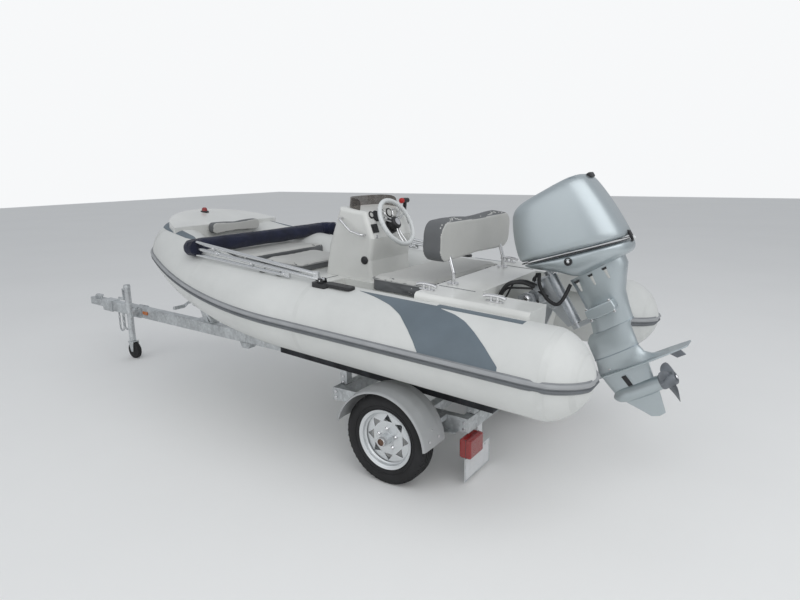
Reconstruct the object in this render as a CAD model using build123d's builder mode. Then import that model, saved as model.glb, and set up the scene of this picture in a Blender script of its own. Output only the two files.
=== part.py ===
from build123d import *
import os
from math import acos, cos, pi, radians, sin, tan

os.makedirs("parts", exist_ok=True)

# Rigid inflatable boat with console, folded bimini and tilted outboard, parked on its single-axle trailer.
# Frame: +X to the bow, +Y to port, +Z up, the floor at Z = 0 and the origin under the middle of the whole.
# All sizes in millimetres and degrees.

# Driving dimensions: trailer
AXLE_X = -1377.0
TYRE_R = 257.5
TYRE_W = 122.0
RIM_R = 170.0
RIM_W = 100.0
WHEEL_Y = 690.0
RAIL_Y = 475.0
RAIL_W = 50.0
RAIL_H = 83.0
RAIL_BOTTOM = 293.0
RAIL_FRONT = 555.0
RAIL_REAR = -383.0
TONGUE_W = 76.0
TONGUE_H = 95.0
TONGUE_Z = 350.0
TONGUE_PITCH = 1.2
TONGUE_FRONT = 3860.0
COUPLER_TIP = 4110.0
AXLE_TUBE = 60.0
BUNK_Y = 400.0
BUNK_W = 90.0
BUNK_T = 85.0
BUNK_FRONT = 1030.0
BUNK_REAR = -520.0
POST_SIZE = 50.0
JACK_X = 3310.0
JACK_Y = 110.0
JACK_TUBE_R = 28.0
JACK_TOP = 690.0
JACK_WHEEL_R = 76.0
JACK_WHEEL_W = 42.0
WINCH_X = 2370.0
BALL_R = 25.4
FENDER_GAP = 34.0
FENDER_W = 215.0
FENDER_T = 5.0

# Driving dimensions: boat, in its own frame, whose datum is the tubes' centre height at the stern
STERN_X = AXLE_X - 990.0
TUBE_Z = 766.0
BOAT_PITCH = 3.37
TUBE_Y = 655.0
TUBE_R = 218.0
BOW_TUBE_R = 204.0
TUBE_STRAIGHT = 1679.0
SHOULDER_R = 3325.0
SHOULDER_TURN = 24.56
SHOULDER_ROLL = 27.24
CONE_TIP = -90.0
CONE_BASE = 110.0
CONE_MID_R = 200.0
CONE_END_R = 166.0
CONE_CAP_R = 100.0
RUB_H = 52.0
RUB_T = 22.0
KEEL_Z = -370.0
DEADRISE = 12.0
HULL_HALF = 520.0
SOLE_Z = -80.0
SOLE_T = 30.0
FORE_DECK_Z = 130.0
AFT_DECK_Z = 250.0
DECK_T = 14.0
TRANSOM_TOP = 150.0
TRANSOM_AFT = 440.0
TRANSOM_T = 45.0
TRANSOM_RAKE = 12.0
WELL_FRONT = 610.0
WELL_HALF = 375.0
SIDE_DECK_AFT = 250.0
SIDE_DECK_OUT = 620.0
SIDE_DECK_IN = 400.0
BENCH_AFT = 880.0
BENCH_FRONT = 1255.0
BENCH_Z = 170.0
BENCH_HALF = 430.0
WALL = 8.0

# Driving dimensions: console and helm
CONSOLE_Y = -85.0
CONSOLE_W = 460.0
HELM_R = 171.5
HELM_X = 1478.0
HELM_Z = 496.0
HELM_TILT = 32.0

# Driving dimensions: outboard, in its own frame, whose datum is the tilt pivot
PIVOT_X = 462.0
PIVOT_Z = 187.0
ENGINE_TILT = 34.3
COWL_W = 370.0
STEER_X = -140.0
AV_Z = -553.0
SHAFT_Z = -689.0
PROP_R = 125.0

# Driving dimensions: bimini
BIMINI_X = 1408.0
BIMINI_TUBE_R = 11.0
BOOT_R = 62.0
GAP = 0.3


def rotated(angle):
    return (cos(radians(angle)), 0, sin(radians(angle))), (-sin(radians(angle)), 0, cos(radians(angle)))


BOAT_DIRS = rotated(BOAT_PITCH)
BOAT = Plane(origin=(STERN_X, 0, TUBE_Z), x_dir=BOAT_DIRS[0], z_dir=BOAT_DIRS[1])


def boat_point(x, y, z):
    return BOAT.from_local_coords(Vector(x, y, z))


def level(z):
    return Plane(boat_point(0, 0, z), x_dir=BOAT.x_dir, z_dir=BOAT.z_dir)


def station(x):
    return Plane(boat_point(x, 0, 0), x_dir=(0, 1, 0), z_dir=BOAT.x_dir)


def buttock(y):
    return Plane(boat_point(0, y, 0), x_dir=BOAT.x_dir, z_dir=(0, -1, 0))


ENGINE_DIRS = rotated(BOAT_PITCH - ENGINE_TILT)
ENGINE = Plane(boat_point(PIVOT_X, 0, PIVOT_Z), x_dir=ENGINE_DIRS[0], z_dir=ENGINE_DIRS[1])


def engine_point(x, y, z):
    return ENGINE.from_local_coords(Vector(x, y, z))


def engine_level(z, x=0.0):
    return Plane(engine_point(x, 0, z), x_dir=ENGINE.x_dir, z_dir=ENGINE.z_dir)


def engine_side(y=0.0):
    return Plane(engine_point(0, y, 0), x_dir=ENGINE.x_dir, z_dir=(0, -1, 0))


def engine_station(x, z=0.0):
    return Plane(engine_point(x, 0, z), x_dir=(0, 1, 0), z_dir=ENGINE.x_dir)


TONGUE_DIRS = rotated(TONGUE_PITCH)
TONGUE = Plane(origin=(AXLE_X, 0, TONGUE_Z), x_dir=TONGUE_DIRS[0], z_dir=TONGUE_DIRS[1])


def tongue_station(x, y=0.0, z=0.0):
    return Plane(TONGUE.from_local_coords(Vector(x, y, z)), x_dir=(0, 1, 0), z_dir=TONGUE.x_dir)


def tongue_level(z, x=0.0, y=0.0):
    return Plane(TONGUE.from_local_coords(Vector(x, y, z)), x_dir=TONGUE.x_dir, z_dir=TONGUE.z_dir)


def tongue_side(y=0.0):
    return Plane(TONGUE.from_local_coords(Vector(0, y, 0)), x_dir=TONGUE.x_dir, z_dir=(0, -1, 0))


def finish(builder, name):
    builder.part.label = name
    export_step(builder.part, "parts/" + name + ".step")


# Trailer: tongue, frame, axle
with BuildPart() as tongue:
    with BuildSketch(tongue_station(RAIL_REAR)):
        RectangleRounded(TONGUE_W, TONGUE_H, 6)
        RectangleRounded(TONGUE_W - 2 * WALL, TONGUE_H - 2 * WALL, 2, mode=Mode.SUBTRACT)
    extrude(amount=TONGUE_FRONT - RAIL_REAR)
    # Gusset plate that hangs below the tongue
    with BuildSketch(tongue_side()):
        with BuildLine():
            Polyline((1800, -TONGUE_H / 2), (1920, -TONGUE_H / 2), (1900, -TONGUE_H / 2 - 45),
                     (1830, -TONGUE_H / 2 - 45), close=True)
        make_face()
    extrude(amount=TONGUE_W / 2, both=True)
finish(tongue, "tongue")

CROSS_LEN = RAIL_Y - RAIL_W / 2 - TONGUE_W / 2
CROSS_Y = TONGUE_W / 2 + CROSS_LEN / 2
CROSS_T = 50.0
CROSS_XS = (RAIL_REAR + CROSS_T / 2, RAIL_FRONT - CROSS_T / 2)
RAIL_Z = RAIL_BOTTOM + RAIL_H / 2

with BuildPart() as frame:
    for side in (1, -1):
        with BuildSketch(Plane((AXLE_X + RAIL_REAR, side * RAIL_Y, RAIL_Z), x_dir=(0, 1, 0),
                               z_dir=(1, 0, 0))):
            RectangleRounded(RAIL_W, RAIL_H, 5)
        extrude(amount=RAIL_FRONT - RAIL_REAR)
        for x in CROSS_XS:
            with Locations((AXLE_X + x, side * CROSS_Y, RAIL_Z)):
                Box(CROSS_T, CROSS_LEN, RAIL_H)
finish(frame, "frame")

AXLE_TUBE_Z = RAIL_BOTTOM - AXLE_TUBE / 2
SPINDLE_R = 16.0
AXLE_HALF = WHEEL_Y - RIM_W / 2 - 12.0

with BuildPart() as axle:
    with Locations((AXLE_X, 0, AXLE_TUBE_Z)):
        Box(AXLE_TUBE, 2 * (AXLE_HALF - 30), AXLE_TUBE)
    for side in (1, -1):
        with BuildSketch(Plane((AXLE_X, side * (AXLE_HALF - 30), TYRE_R), x_dir=(1, 0, 0),
                               z_dir=(0, side, 0))):
            Circle(SPINDLE_R + 8)
        extrude(amount=30)
        with BuildSketch(Plane((AXLE_X, side * AXLE_HALF, TYRE_R), x_dir=(1, 0, 0), z_dir=(0, side, 0))):
            Circle(SPINDLE_R)
        extrude(amount=RIM_W)
finish(axle, "axle")

# Wheels: each tyre and rim turns on its spindle
SEAT_R = RIM_R - 14.0
HUB_R = 38.0
HUB_OUT = 82.0


def wheel_plane(side, offset=0.0):
    return Plane((AXLE_X, side * (WHEEL_Y + offset), TYRE_R), x_dir=(1, 0, 0), z_dir=(0, side, 0))


for side, word in ((1, "port"), (-1, "starboard")):
    axis = Axis((AXLE_X, side * WHEEL_Y, TYRE_R), (0, side, 0))
    section = Plane((AXLE_X, side * WHEEL_Y, TYRE_R), x_dir=(1, 0, 0), z_dir=(0, 0, 1))
    with BuildPart() as tyre:
        with BuildSketch(section):
            with BuildLine():
                half = TYRE_W / 2
                bead = RIM_W / 2 - 12
                lip = RIM_W / 2 - 6
                Line((SEAT_R + GAP, -bead), (RIM_R + 2, -lip))
                ThreePointArc((RIM_R + 2, -lip), (RIM_R + 38, -half), (TYRE_R - 14, -half + 10))
                ThreePointArc((TYRE_R - 14, -half + 10), (TYRE_R, 0), (TYRE_R - 14, half - 10))
                ThreePointArc((TYRE_R - 14, half - 10), (RIM_R + 38, half), (RIM_R + 2, lip))
                Line((RIM_R + 2, lip), (SEAT_R + GAP, bead))
                Line((SEAT_R + GAP, bead), (SEAT_R + GAP, -bead))
            make_face()
        revolve(axis=axis)
    finish(tyre, "tyre_" + word)

    with BuildPart() as rim:
        with BuildSketch(section):
            with BuildLine():
                Polyline((RIM_R, -RIM_W / 2), (RIM_R, -RIM_W / 2 + 4), (SEAT_R, -RIM_W / 2 + 10),
                         (SEAT_R, RIM_W / 2 - 10), (RIM_R, RIM_W / 2 - 4), (RIM_R, RIM_W / 2),
                         (SEAT_R - 4, RIM_W / 2 - 8), (SEAT_R - 4, -RIM_W / 2 + 8), close=True)
            make_face()
        revolve(axis=axis)
        # Dished disc with its eight triangular vents
        with BuildSketch(wheel_plane(side, 8)):
            Circle(SEAT_R - 2)
            Circle(SPINDLE_R + GAP, mode=Mode.SUBTRACT)
            with PolarLocations(RIM_R - 62, 8):
                Triangle(a=58, b=50, c=50, rotation=-90, mode=Mode.SUBTRACT)
        extrude(amount=6)
        # Hub barrel and its bearing cap
        with BuildSketch(wheel_plane(side, -RIM_W / 2 - 8)):
            Circle(HUB_R)
            Circle(SPINDLE_R + GAP, mode=Mode.SUBTRACT)
        extrude(amount=RIM_W / 2 + 30)
        with BuildSketch(wheel_plane(side, 20)):
            Circle(HUB_R - 6)
            Circle(SPINDLE_R + GAP, mode=Mode.SUBTRACT)
        extrude(amount=HUB_OUT - 42)
        with BuildSketch(wheel_plane(side, RIM_W / 2 + 3)):
            Circle(HUB_R - 6)
        extrude(amount=HUB_OUT - RIM_W / 2 - 18, taper=12)
    finish(rim, "rim_" + word)

    # Fender: a half ring over the tyre with an inner skirt and two arms to the frame
    fender_in = TYRE_R + FENDER_GAP
    fender_out = fender_in + FENDER_T
    skirt_y = WHEEL_Y - FENDER_W / 2
    with BuildPart() as fender:
        with BuildSketch(Plane((AXLE_X, side * skirt_y, TYRE_R), x_dir=(-side, 0, 0), z_dir=(0, side, 0))):
            Circle(fender_out)
            Circle(fender_in, mode=Mode.SUBTRACT)
            with Locations((0, -fender_out)):
                Rectangle(3 * fender_out, 2 * fender_out - 40, mode=Mode.SUBTRACT)
        extrude(amount=FENDER_W)
        with BuildSketch(Plane((AXLE_X, side * skirt_y, TYRE_R), x_dir=(-side, 0, 0), z_dir=(0, side, 0))):
            Circle(fender_out)
            Circle(TYRE_R - 60, mode=Mode.SUBTRACT)
            with Locations((0, -fender_out)):
                Rectangle(3 * fender_out, 2 * fender_out + 90, mode=Mode.SUBTRACT)
        extrude(amount=FENDER_T)
        arm_len = skirt_y - RAIL_Y - RAIL_W / 2
        for x in (-235, 235):
            with Locations((AXLE_X + x, side * (skirt_y - arm_len / 2), RAIL_BOTTOM + RAIL_H - 30)):
                Box(40, arm_len, 30)
    finish(fender, "fender_" + word)

# Bunks lie under the hull on posts that stand on the crossmembers
RAKE = tan(radians(DEADRISE))


def hull_bottom(y):
    return KEEL_Z + abs(y) * RAKE


def boat_height(x, z):
    # Height above the floor of a boat point
    return boat_point(x, 0, z).Z


for side, word in ((1, "port"), (-1, "starboard")):
    inner, outer = BUNK_Y - BUNK_W / 2, BUNK_Y + BUNK_W / 2
    with BuildPart() as bunk:
        with BuildSketch(station(BUNK_REAR + 990)):
            with BuildLine():
                Polyline((side * inner, hull_bottom(inner)), (side * outer, hull_bottom(outer)),
                         (side * outer, hull_bottom(inner) - BUNK_T),
                         (side * inner, hull_bottom(inner) - BUNK_T),
                         close=True)
            make_face()
        extrude(amount=BUNK_FRONT - BUNK_REAR)
        for x in CROSS_XS:
            foot = RAIL_BOTTOM + RAIL_H
            top = boat_height(990 + x, hull_bottom(inner) - BUNK_T) + 12
            with Locations((AXLE_X + x, side * BUNK_Y, (foot + top) / 2)):
                Box(POST_SIZE, POST_SIZE, top - foot)
    finish(bunk, "bunk_" + word)

# Winch stand: leaning post with brace, drum and handle
with BuildPart() as winch_stand:
    base_z = TONGUE_H / 2
    with BuildSketch(tongue_level(base_z)):
        with Locations((WINCH_X, 0)):
            RectangleRounded(230, TONGUE_W + 50, 8)
    extrude(amount=8)
    with BuildSketch(tongue_side()):
        with BuildLine():
            Polyline((WINCH_X - 60, base_z + 8), (WINCH_X, base_z + 8), (WINCH_X + 75, base_z + 190),
                     (WINCH_X + 20, base_z + 190), close=True)
        make_face()
        with BuildLine():
            Polyline((WINCH_X - 110, base_z + 8), (WINCH_X - 80, base_z + 8), (WINCH_X + 30, base_z + 150),
                     (WINCH_X + 15, base_z + 165), close=True)
        make_face()
    extrude(amount=25, both=True)
    with BuildSketch(tongue_side(-60)):
        with Locations((WINCH_X + 60, base_z + 175)):
            Circle(42)
    extrude(amount=-120)
    with BuildSketch(tongue_side(60)):
        with Locations((WINCH_X + 60, base_z + 175)):
            Circle(9)
    extrude(amount=-50)
    with BuildSketch(tongue_side(100)):
        with BuildLine():
            Polyline((WINCH_X + 50, base_z + 185), (WINCH_X + 75, base_z + 185),
                     (WINCH_X + 155, base_z + 140),
                     (WINCH_X + 140, base_z + 118), close=True)
        make_face()
    extrude(amount=-10)
    with BuildSketch(tongue_side(110)):
        with Locations((WINCH_X + 138, base_z + 134)):
            Circle(15)
    extrude(amount=-95)
finish(winch_stand, "winch_stand")

# Coupler with its ball socket and latch
BALL_X = COUPLER_TIP - 48.0
with BuildPart() as coupler:
    with BuildSketch(tongue_station(TONGUE_FRONT - 150)):
        Rectangle(TONGUE_W + 12, TONGUE_H + 12)
        Rectangle(TONGUE_W, TONGUE_H, mode=Mode.SUBTRACT)
    extrude(amount=150)
    with BuildSketch(tongue_level(-20)):
        with BuildLine():
            nose = COUPLER_TIP - 40
            Line((TONGUE_FRONT, -TONGUE_W / 2 - 6), (TONGUE_FRONT, TONGUE_W / 2 + 6))
            Line((TONGUE_FRONT, TONGUE_W / 2 + 6), (nose, 40))
            ThreePointArc((nose, 40), (COUPLER_TIP, 0), (nose, -40))
            Line((nose, -40), (TONGUE_FRONT, -TONGUE_W / 2 - 6))
        make_face()
    extrude(amount=62)
    with Locations(TONGUE.from_local_coords(Vector(BALL_X, 0, -20 + BALL_R - 9))):
        Sphere(BALL_R + 0.4, mode=Mode.SUBTRACT)
    with BuildSketch(tongue_level(-21)):
        with Locations((BALL_X, 0)):
            Circle(BALL_R + 0.4)
    extrude(amount=BALL_R - 8, mode=Mode.SUBTRACT)
    with BuildSketch(tongue_level(42)):
        with Locations((COUPLER_TIP - 120, 0)):
            RectangleRounded(110, 22, 6)
    extrude(amount=26)
    with BuildSketch(tongue_level(68)):
        with Locations((COUPLER_TIP - 135, 0)):
            RectangleRounded(90, 34, 8)
    extrude(amount=12)
finish(coupler, "coupler")

# Two safety chains that hang as long loops below the tongue's end
LINK_LEN = 38.0
LINK_W = 16.0
LINK_BAR = 4.0
LINK_T = 6.0
LINK_LAP = 3.1
CHAIN_PITCH = LINK_LEN - 2 * LINK_BAR - 0.5
CHAIN_R = 30.0
CHAIN_DROP = 144.0
CHAIN_X = TONGUE_FRONT - 260.0
with BuildPart() as safety_chains:
    for side in (1, -1):
        with BuildLine(tongue_side(side * 24)) as chain_line:
            top = -TONGUE_H / 2 - LINK_LAP - GAP
            Line((CHAIN_X - CHAIN_R, top), (CHAIN_X - CHAIN_R, top - CHAIN_DROP))
            ThreePointArc((CHAIN_X - CHAIN_R, top - CHAIN_DROP), (CHAIN_X, top - CHAIN_DROP - CHAIN_R),
                          (CHAIN_X + CHAIN_R, top - CHAIN_DROP))
            Line((CHAIN_X + CHAIN_R, top - CHAIN_DROP), (CHAIN_X + CHAIN_R, top))
        chain = chain_line.wires()[0]
        links = int(chain.length / CHAIN_PITCH)
        for i in range(links):
            at = (i + 0.5) / links
            along = chain.tangent_at(at)
            normal = Vector(0, 1, 0) if i % 2 else along.cross(Vector(0, 1, 0))
            with BuildSketch(Plane(chain.position_at(at), x_dir=along, z_dir=normal)):
                SlotCenterToCenter(LINK_LEN - LINK_W, LINK_W)
                SlotCenterToCenter(LINK_LEN - LINK_W, LINK_W - 2 * LINK_BAR, mode=Mode.SUBTRACT)
            extrude(amount=LINK_T / 2, both=True)
finish(safety_chains, "safety_chains")

# Tail lamps on arms behind the rear crossmember, and the blank plate on its panel
PLATE_W = 305.0
PLATE_H = 152.0
PLATE_Y = 372.0
PLATE_BOTTOM = 14.0
PLATE_BOLTS = 178.0
PLATE_BOLT_R = 3.5
REAR_FACE = AXLE_X + RAIL_REAR
with BuildPart() as plate_panel:
    with Locations((REAR_FACE + 8, PLATE_Y, PLATE_BOTTOM + PLATE_H / 2)):
        Box(2, PLATE_W, PLATE_H)
    with Locations((REAR_FACE + 12, PLATE_Y - 30, (PLATE_BOTTOM + 60 + RAIL_BOTTOM) / 2)):
        Box(6, 60, RAIL_BOTTOM - PLATE_BOTTOM - 60)
    with BuildSketch(Plane((REAR_FACE, PLATE_Y, PLATE_BOTTOM + PLATE_H - 20), x_dir=(0, 1, 0),
                           z_dir=(1, 0, 0))):
        with GridLocations(PLATE_BOLTS, 1, 2, 1):
            Circle(PLATE_BOLT_R)
    extrude(amount=9, mode=Mode.SUBTRACT)
finish(plate_panel, "plate_panel")

with BuildPart() as tail_lamps:
    for side in (1, -1):
        with Locations((REAR_FACE - 2, side * 470, 222)):
            Box(60, 150, 105)
        with Locations((REAR_FACE + 20, side * 470, 280)):
            Box(12, 60, 2 * (RAIL_BOTTOM - 280))
    fillet(tail_lamps.edges().filter_by(Axis.X), 2)
finish(tail_lamps, "tail_lamps")

# Jack: clamp on the tongue, swinging post, caster fork and wheel
JACK_PIVOT_Z = 425.0
JACK = (AXLE_X + JACK_X, JACK_Y)
with BuildPart() as jack_clamp:
    with BuildSketch(Plane((JACK[0], TONGUE_W / 2, JACK_PIVOT_Z - 5), x_dir=(1, 0, 0), z_dir=(0, -1, 0))):
        RectangleRounded(150, 100, 8)
    extrude(amount=-8)
    with BuildSketch(Plane((JACK[0], -TONGUE_W / 2 - 8, JACK_PIVOT_Z - 5), x_dir=(1, 0, 0),
                           z_dir=(0, -1, 0))):
        RectangleRounded(150, 100, 8)
    extrude(amount=-8)
    with BuildSketch(Plane((JACK[0], TONGUE_W / 2 + 8, JACK_PIVOT_Z), x_dir=(1, 0, 0), z_dir=(0, -1, 0))):
        Circle(45)
    extrude(amount=-16)
finish(jack_clamp, "jack_clamp")

FORK_TOP = 170.0
with BuildPart() as jack_post:
    with BuildSketch(Plane((JACK[0], JACK_Y, FORK_TOP))):
        Circle(JACK_TUBE_R)
    extrude(amount=JACK_TOP - FORK_TOP - 22)
    with BuildSketch(Plane((JACK[0], JACK_Y, JACK_TOP - 22))):
        Circle(JACK_TUBE_R + 3)
    extrude(amount=22, taper=10)
    swivel_y = TONGUE_W / 2 + 24 + GAP
    with BuildSketch(Plane((JACK[0], swivel_y, JACK_PIVOT_Z), x_dir=(1, 0, 0), z_dir=(0, -1, 0))):
        Circle(42)
    extrude(amount=-(JACK_Y - swivel_y))
    # Crank: a stub at the head, an arm and its grip
    with BuildSketch(Plane((JACK[0], JACK_Y, JACK_TOP - 50), x_dir=(0, 1, 0), z_dir=(1, 0, 0))):
        Circle(9)
    extrude(amount=75)
    with BuildSketch(Plane((JACK[0] + 68, JACK_Y, JACK_TOP - 42), x_dir=(0, 1, 0), z_dir=(0, 0, 1))):
        Rectangle(18, 14)
    extrude(amount=-110)
    with BuildSketch(Plane((JACK[0] + 60, JACK_Y, JACK_TOP - 140), x_dir=(0, 1, 0), z_dir=(1, 0, 0))):
        Circle(13)
    extrude(amount=85)
finish(jack_post, "jack_post")

WHEEL_OFFSET = 18.0
with BuildPart() as jack_fork:
    with BuildSketch(Plane((JACK[0], JACK_Y, FORK_TOP - GAP))):
        Circle(24)
    extrude(amount=-8)
    with Locations((JACK[0] - WHEEL_OFFSET / 2, JACK_Y, FORK_TOP - 11)):
        Box(74, JACK_WHEEL_W + 22, 6)
    for y in (JACK_Y - JACK_WHEEL_W / 2 - 5, JACK_Y + JACK_WHEEL_W / 2 + 10):
        with BuildSketch(Plane((JACK[0], y, 0), x_dir=(1, 0, 0), z_dir=(0, -1, 0))):
            with BuildLine():
                Polyline((-46, FORK_TOP - 9), (28, FORK_TOP - 9), (-WHEEL_OFFSET + 14, JACK_WHEEL_R - 12),
                         (-WHEEL_OFFSET - 14, JACK_WHEEL_R - 12), close=True)
            make_face()
        extrude(amount=5)
    with BuildSketch(Plane((JACK[0] - WHEEL_OFFSET, JACK_Y, JACK_WHEEL_R), x_dir=(1, 0, 0),
                           z_dir=(0, 1, 0))):
        Circle(7)
    extrude(amount=JACK_WHEEL_W / 2 + 12, both=True)
finish(jack_fork, "jack_fork")

with BuildPart() as jack_wheel:
    with BuildSketch(Plane((JACK[0] - WHEEL_OFFSET, JACK_Y, JACK_WHEEL_R), x_dir=(1, 0, 0),
                           z_dir=(0, 1, 0))):
        Circle(JACK_WHEEL_R)
        Circle(7 + GAP, mode=Mode.SUBTRACT)
    extrude(amount=JACK_WHEEL_W / 2, both=True)
    fillet(jack_wheel.edges().filter_by(GeomType.CIRCLE).group_by(SortBy.RADIUS)[-1], 8)
finish(jack_wheel, "jack_wheel")

# Boat: the two side tubes and the bow tube follow one path of a straight run and two arcs a side.
# The shoulder arc leans inward and up by SHOULDER_ROLL, and the nose arc ends square to the centreline.
TURN = radians(SHOULDER_TURN)
ROLL = radians(SHOULDER_ROLL)


def tube_path(half_beam, start_z, shoulder_r, turn, roll):
    # Key points in the boat frame: start, mid and end of the shoulder arc, mid and end of the nose arc
    ex = Vector(1, 0, 0)
    lean = Vector(0, -cos(roll), sin(roll))
    base = Vector(TUBE_STRAIGHT, half_beam, start_z)

    def shoulder(a):
        return base + ex * (shoulder_r * sin(a)) + lean * (shoulder_r * (1 - cos(a)))

    end = shoulder(turn)
    heading = ex * cos(turn) + lean * sin(turn)
    inward = Vector(0, -1, 0)
    cos_g = heading.dot(inward)
    g = acos(cos_g)
    nose_r = end.Y / sin(g)
    side_dir = (inward - heading * cos_g) * (1 / sin(g))

    def nose(b):
        return end + heading * (nose_r * sin(b)) + side_dir * (nose_r * (1 - cos(b)))

    return {"base": base, "mid": shoulder(turn / 2), "end": end, "heading": heading,
            "nose_mid": nose(g / 2), "nose": nose(g), "nose_r": nose_r}


def world(v, side=1):
    return boat_point(v.X, side * v.Y, v.Z)


def world_dir(v, side=1):
    return BOAT.from_local_coords(Vector(v.X, side * v.Y, v.Z)) - BOAT.origin


PATH = tube_path(TUBE_Y, 0.0, SHOULDER_R, TURN, ROLL)


def tube_side(side, grow=0.0):
    # Straight run with its rounded stern cone, then the shoulder arc tapering to the bow tube
    with BuildPart(mode=Mode.PRIVATE) as tube:
        with BuildSketch(Plane(boat_point(0, side * TUBE_Y, 0), x_dir=BOAT.x_dir, z_dir=(0, -1, 0))):
            with BuildLine():
                r = TUBE_R + grow
                Line((CONE_TIP - grow, 0), (TUBE_STRAIGHT, 0))
                Line((TUBE_STRAIGHT, 0), (TUBE_STRAIGHT, r))
                Line((TUBE_STRAIGHT, r), (CONE_BASE, r))
                ThreePointArc((CONE_BASE, r), (50, CONE_MID_R + grow), (0, CONE_END_R + grow))
                ThreePointArc((0, CONE_END_R + grow), (-60, CONE_CAP_R + grow), (CONE_TIP - grow, 30))
                Line((CONE_TIP - grow, 30), (CONE_TIP - grow, 0))
            make_face()
        revolve(axis=Axis(boat_point(0, side * TUBE_Y, 0), BOAT.x_dir))
        with BuildLine() as shoulder:
            ThreePointArc(world(PATH["base"], side), world(PATH["mid"], side), world(PATH["end"], side))
        binormal = world_dir(Vector(0, sin(ROLL), cos(ROLL)), side)
        with BuildSketch(Plane(world(PATH["base"], side), x_dir=binormal, z_dir=BOAT.x_dir)):
            Circle(TUBE_R + grow)
        with BuildSketch(Plane(world(PATH["end"], side), x_dir=binormal,
                               z_dir=world_dir(PATH["heading"], side))):
            Circle(BOW_TUBE_R + grow)
        sweep(path=shoulder.wires()[0], multisection=True)
    return tube.part


def tube_bow(grow=0.0):
    with BuildPart(mode=Mode.PRIVATE) as tube:
        with BuildLine() as nose_line:
            ThreePointArc(world(PATH["end"]), world(PATH["nose_mid"]), world(PATH["nose"]))
            ThreePointArc(world(PATH["nose"]), world(PATH["nose_mid"], -1), world(PATH["end"], -1))
        with BuildSketch(Plane(world(PATH["end"]), z_dir=world_dir(PATH["heading"]))):
            Circle(BOW_TUBE_R + grow)
        sweep(path=nose_line.wires()[0])
    return tube.part


TUBE_SOLIDS = {"tube_port": tube_side(1), "tube_starboard": tube_side(-1), "tube_bow": tube_bow()}
for name, solid in TUBE_SOLIDS.items():
    with BuildPart() as tube_node:
        add(solid)
    finish(tube_node, name)

TUBES_GROWN = [tube_side(1, GAP), tube_side(-1, GAP), tube_bow(GAP)]

# Rub rail round the outer side of the tubes, cut to sit on them
rail_half = TUBE_Y + TUBE_R
RAIL_PATH = tube_path(rail_half, 0.0, 3483.0, radians(24.8), radians(25.4))
with BuildPart() as rub_rail:
    for side in (1, -1):
        with BuildLine() as rail_line:
            Line(world(Vector(60, rail_half, 0), side), world(RAIL_PATH["base"], side))
            ThreePointArc(world(RAIL_PATH["base"], side), world(RAIL_PATH["mid"], side),
                          world(RAIL_PATH["end"], side))
            ThreePointArc(world(RAIL_PATH["end"], side), world(RAIL_PATH["nose_mid"], side),
                          world(RAIL_PATH["nose"], side))
        with BuildSketch(Plane(world(Vector(60, rail_half, 0), side), x_dir=(0, side, 0),
                               z_dir=BOAT.x_dir)):
            with BuildLine():
                Line((-12, -RUB_H / 2), (-12, RUB_H / 2))
                Line((-12, RUB_H / 2), (4, RUB_H / 2))
                ThreePointArc((4, RUB_H / 2), (RUB_T, 0), (4, -RUB_H / 2))
                Line((4, -RUB_H / 2), (-12, -RUB_H / 2))
            make_face()
        sweep(path=rail_line.wires()[0])
        # Round the stern cone
        with BuildLine() as cone_line:
            ThreePointArc(world(Vector(60, rail_half, 0), side),
                          world(Vector(-28, rail_half - 42, 0), side),
                          world(Vector(-92, TUBE_Y + 60, 0), side))
        with BuildSketch(Plane(world(Vector(60, rail_half, 0), side), x_dir=(0, side, 0),
                               z_dir=BOAT.x_dir)):
            with BuildLine():
                Line((-12, -RUB_H / 2), (-12, RUB_H / 2))
                Line((-12, RUB_H / 2), (4, RUB_H / 2))
                ThreePointArc((4, RUB_H / 2), (RUB_T, 0), (4, -RUB_H / 2))
                Line((4, -RUB_H / 2), (-12, -RUB_H / 2))
            make_face()
        sweep(path=cone_line.wires()[0])
    for solid in TUBES_GROWN:
        add(solid, mode=Mode.SUBTRACT)
finish(rub_rail, "rub_rail")

# Hull: V bottom from the raked transom to the stem, decked at the sole
STEM_X = 3180.0
HULL_TOP = SOLE_Z - SOLE_T
TRANSOM_LEAN = tan(radians(TRANSOM_RAKE))


def transom_x(z, front=0.0):
    # Aft face of the transom at boat height z, moved forward by front
    return TRANSOM_AFT + (TRANSOM_TOP - z) * TRANSOM_LEAN + front


def hull_length(first, second):
    # One straight-sided length of the hull between two sections
    with BuildPart(mode=Mode.PRIVATE) as length:
        for x, keel, half, top in (first, second):
            rise = min(keel + half * RAKE, top - 10)
            with BuildSketch(station(x)):
                with BuildLine():
                    Polyline((0, keel), (half, rise), (half, top), (-half, top), (-half, rise), close=True)
                make_face()
        loft(ruled=True)
    return length.part


HULL_SECTIONS = (  # station, keel height, half width, top height
    (TRANSOM_AFT, KEEL_Z, HULL_HALF, HULL_TOP),
    (TUBE_STRAIGHT, KEEL_Z, HULL_HALF, HULL_TOP),
    (2500.0, KEEL_Z + 60, HULL_HALF - 130, HULL_TOP),
    (STEM_X, KEEL_Z + 235, 70, HULL_TOP + 100),
)
with BuildPart() as hull:
    for first, second in zip(HULL_SECTIONS, HULL_SECTIONS[1:]):
        add(hull_length(first, second))
    with BuildSketch(buttock(0)):
        with BuildLine():
            Polyline((TRANSOM_AFT - 50, 0), (transom_x(0, TRANSOM_T), 0),
                     (transom_x(KEEL_Z - 20, TRANSOM_T), KEEL_Z - 20), (TRANSOM_AFT - 50, KEEL_Z - 20),
                     close=True)
        make_face()
    extrude(amount=HULL_HALF + 10, both=True, mode=Mode.SUBTRACT)
    for solid in TUBES_GROWN:
        add(solid, mode=Mode.SUBTRACT)
finish(hull, "hull")

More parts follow.
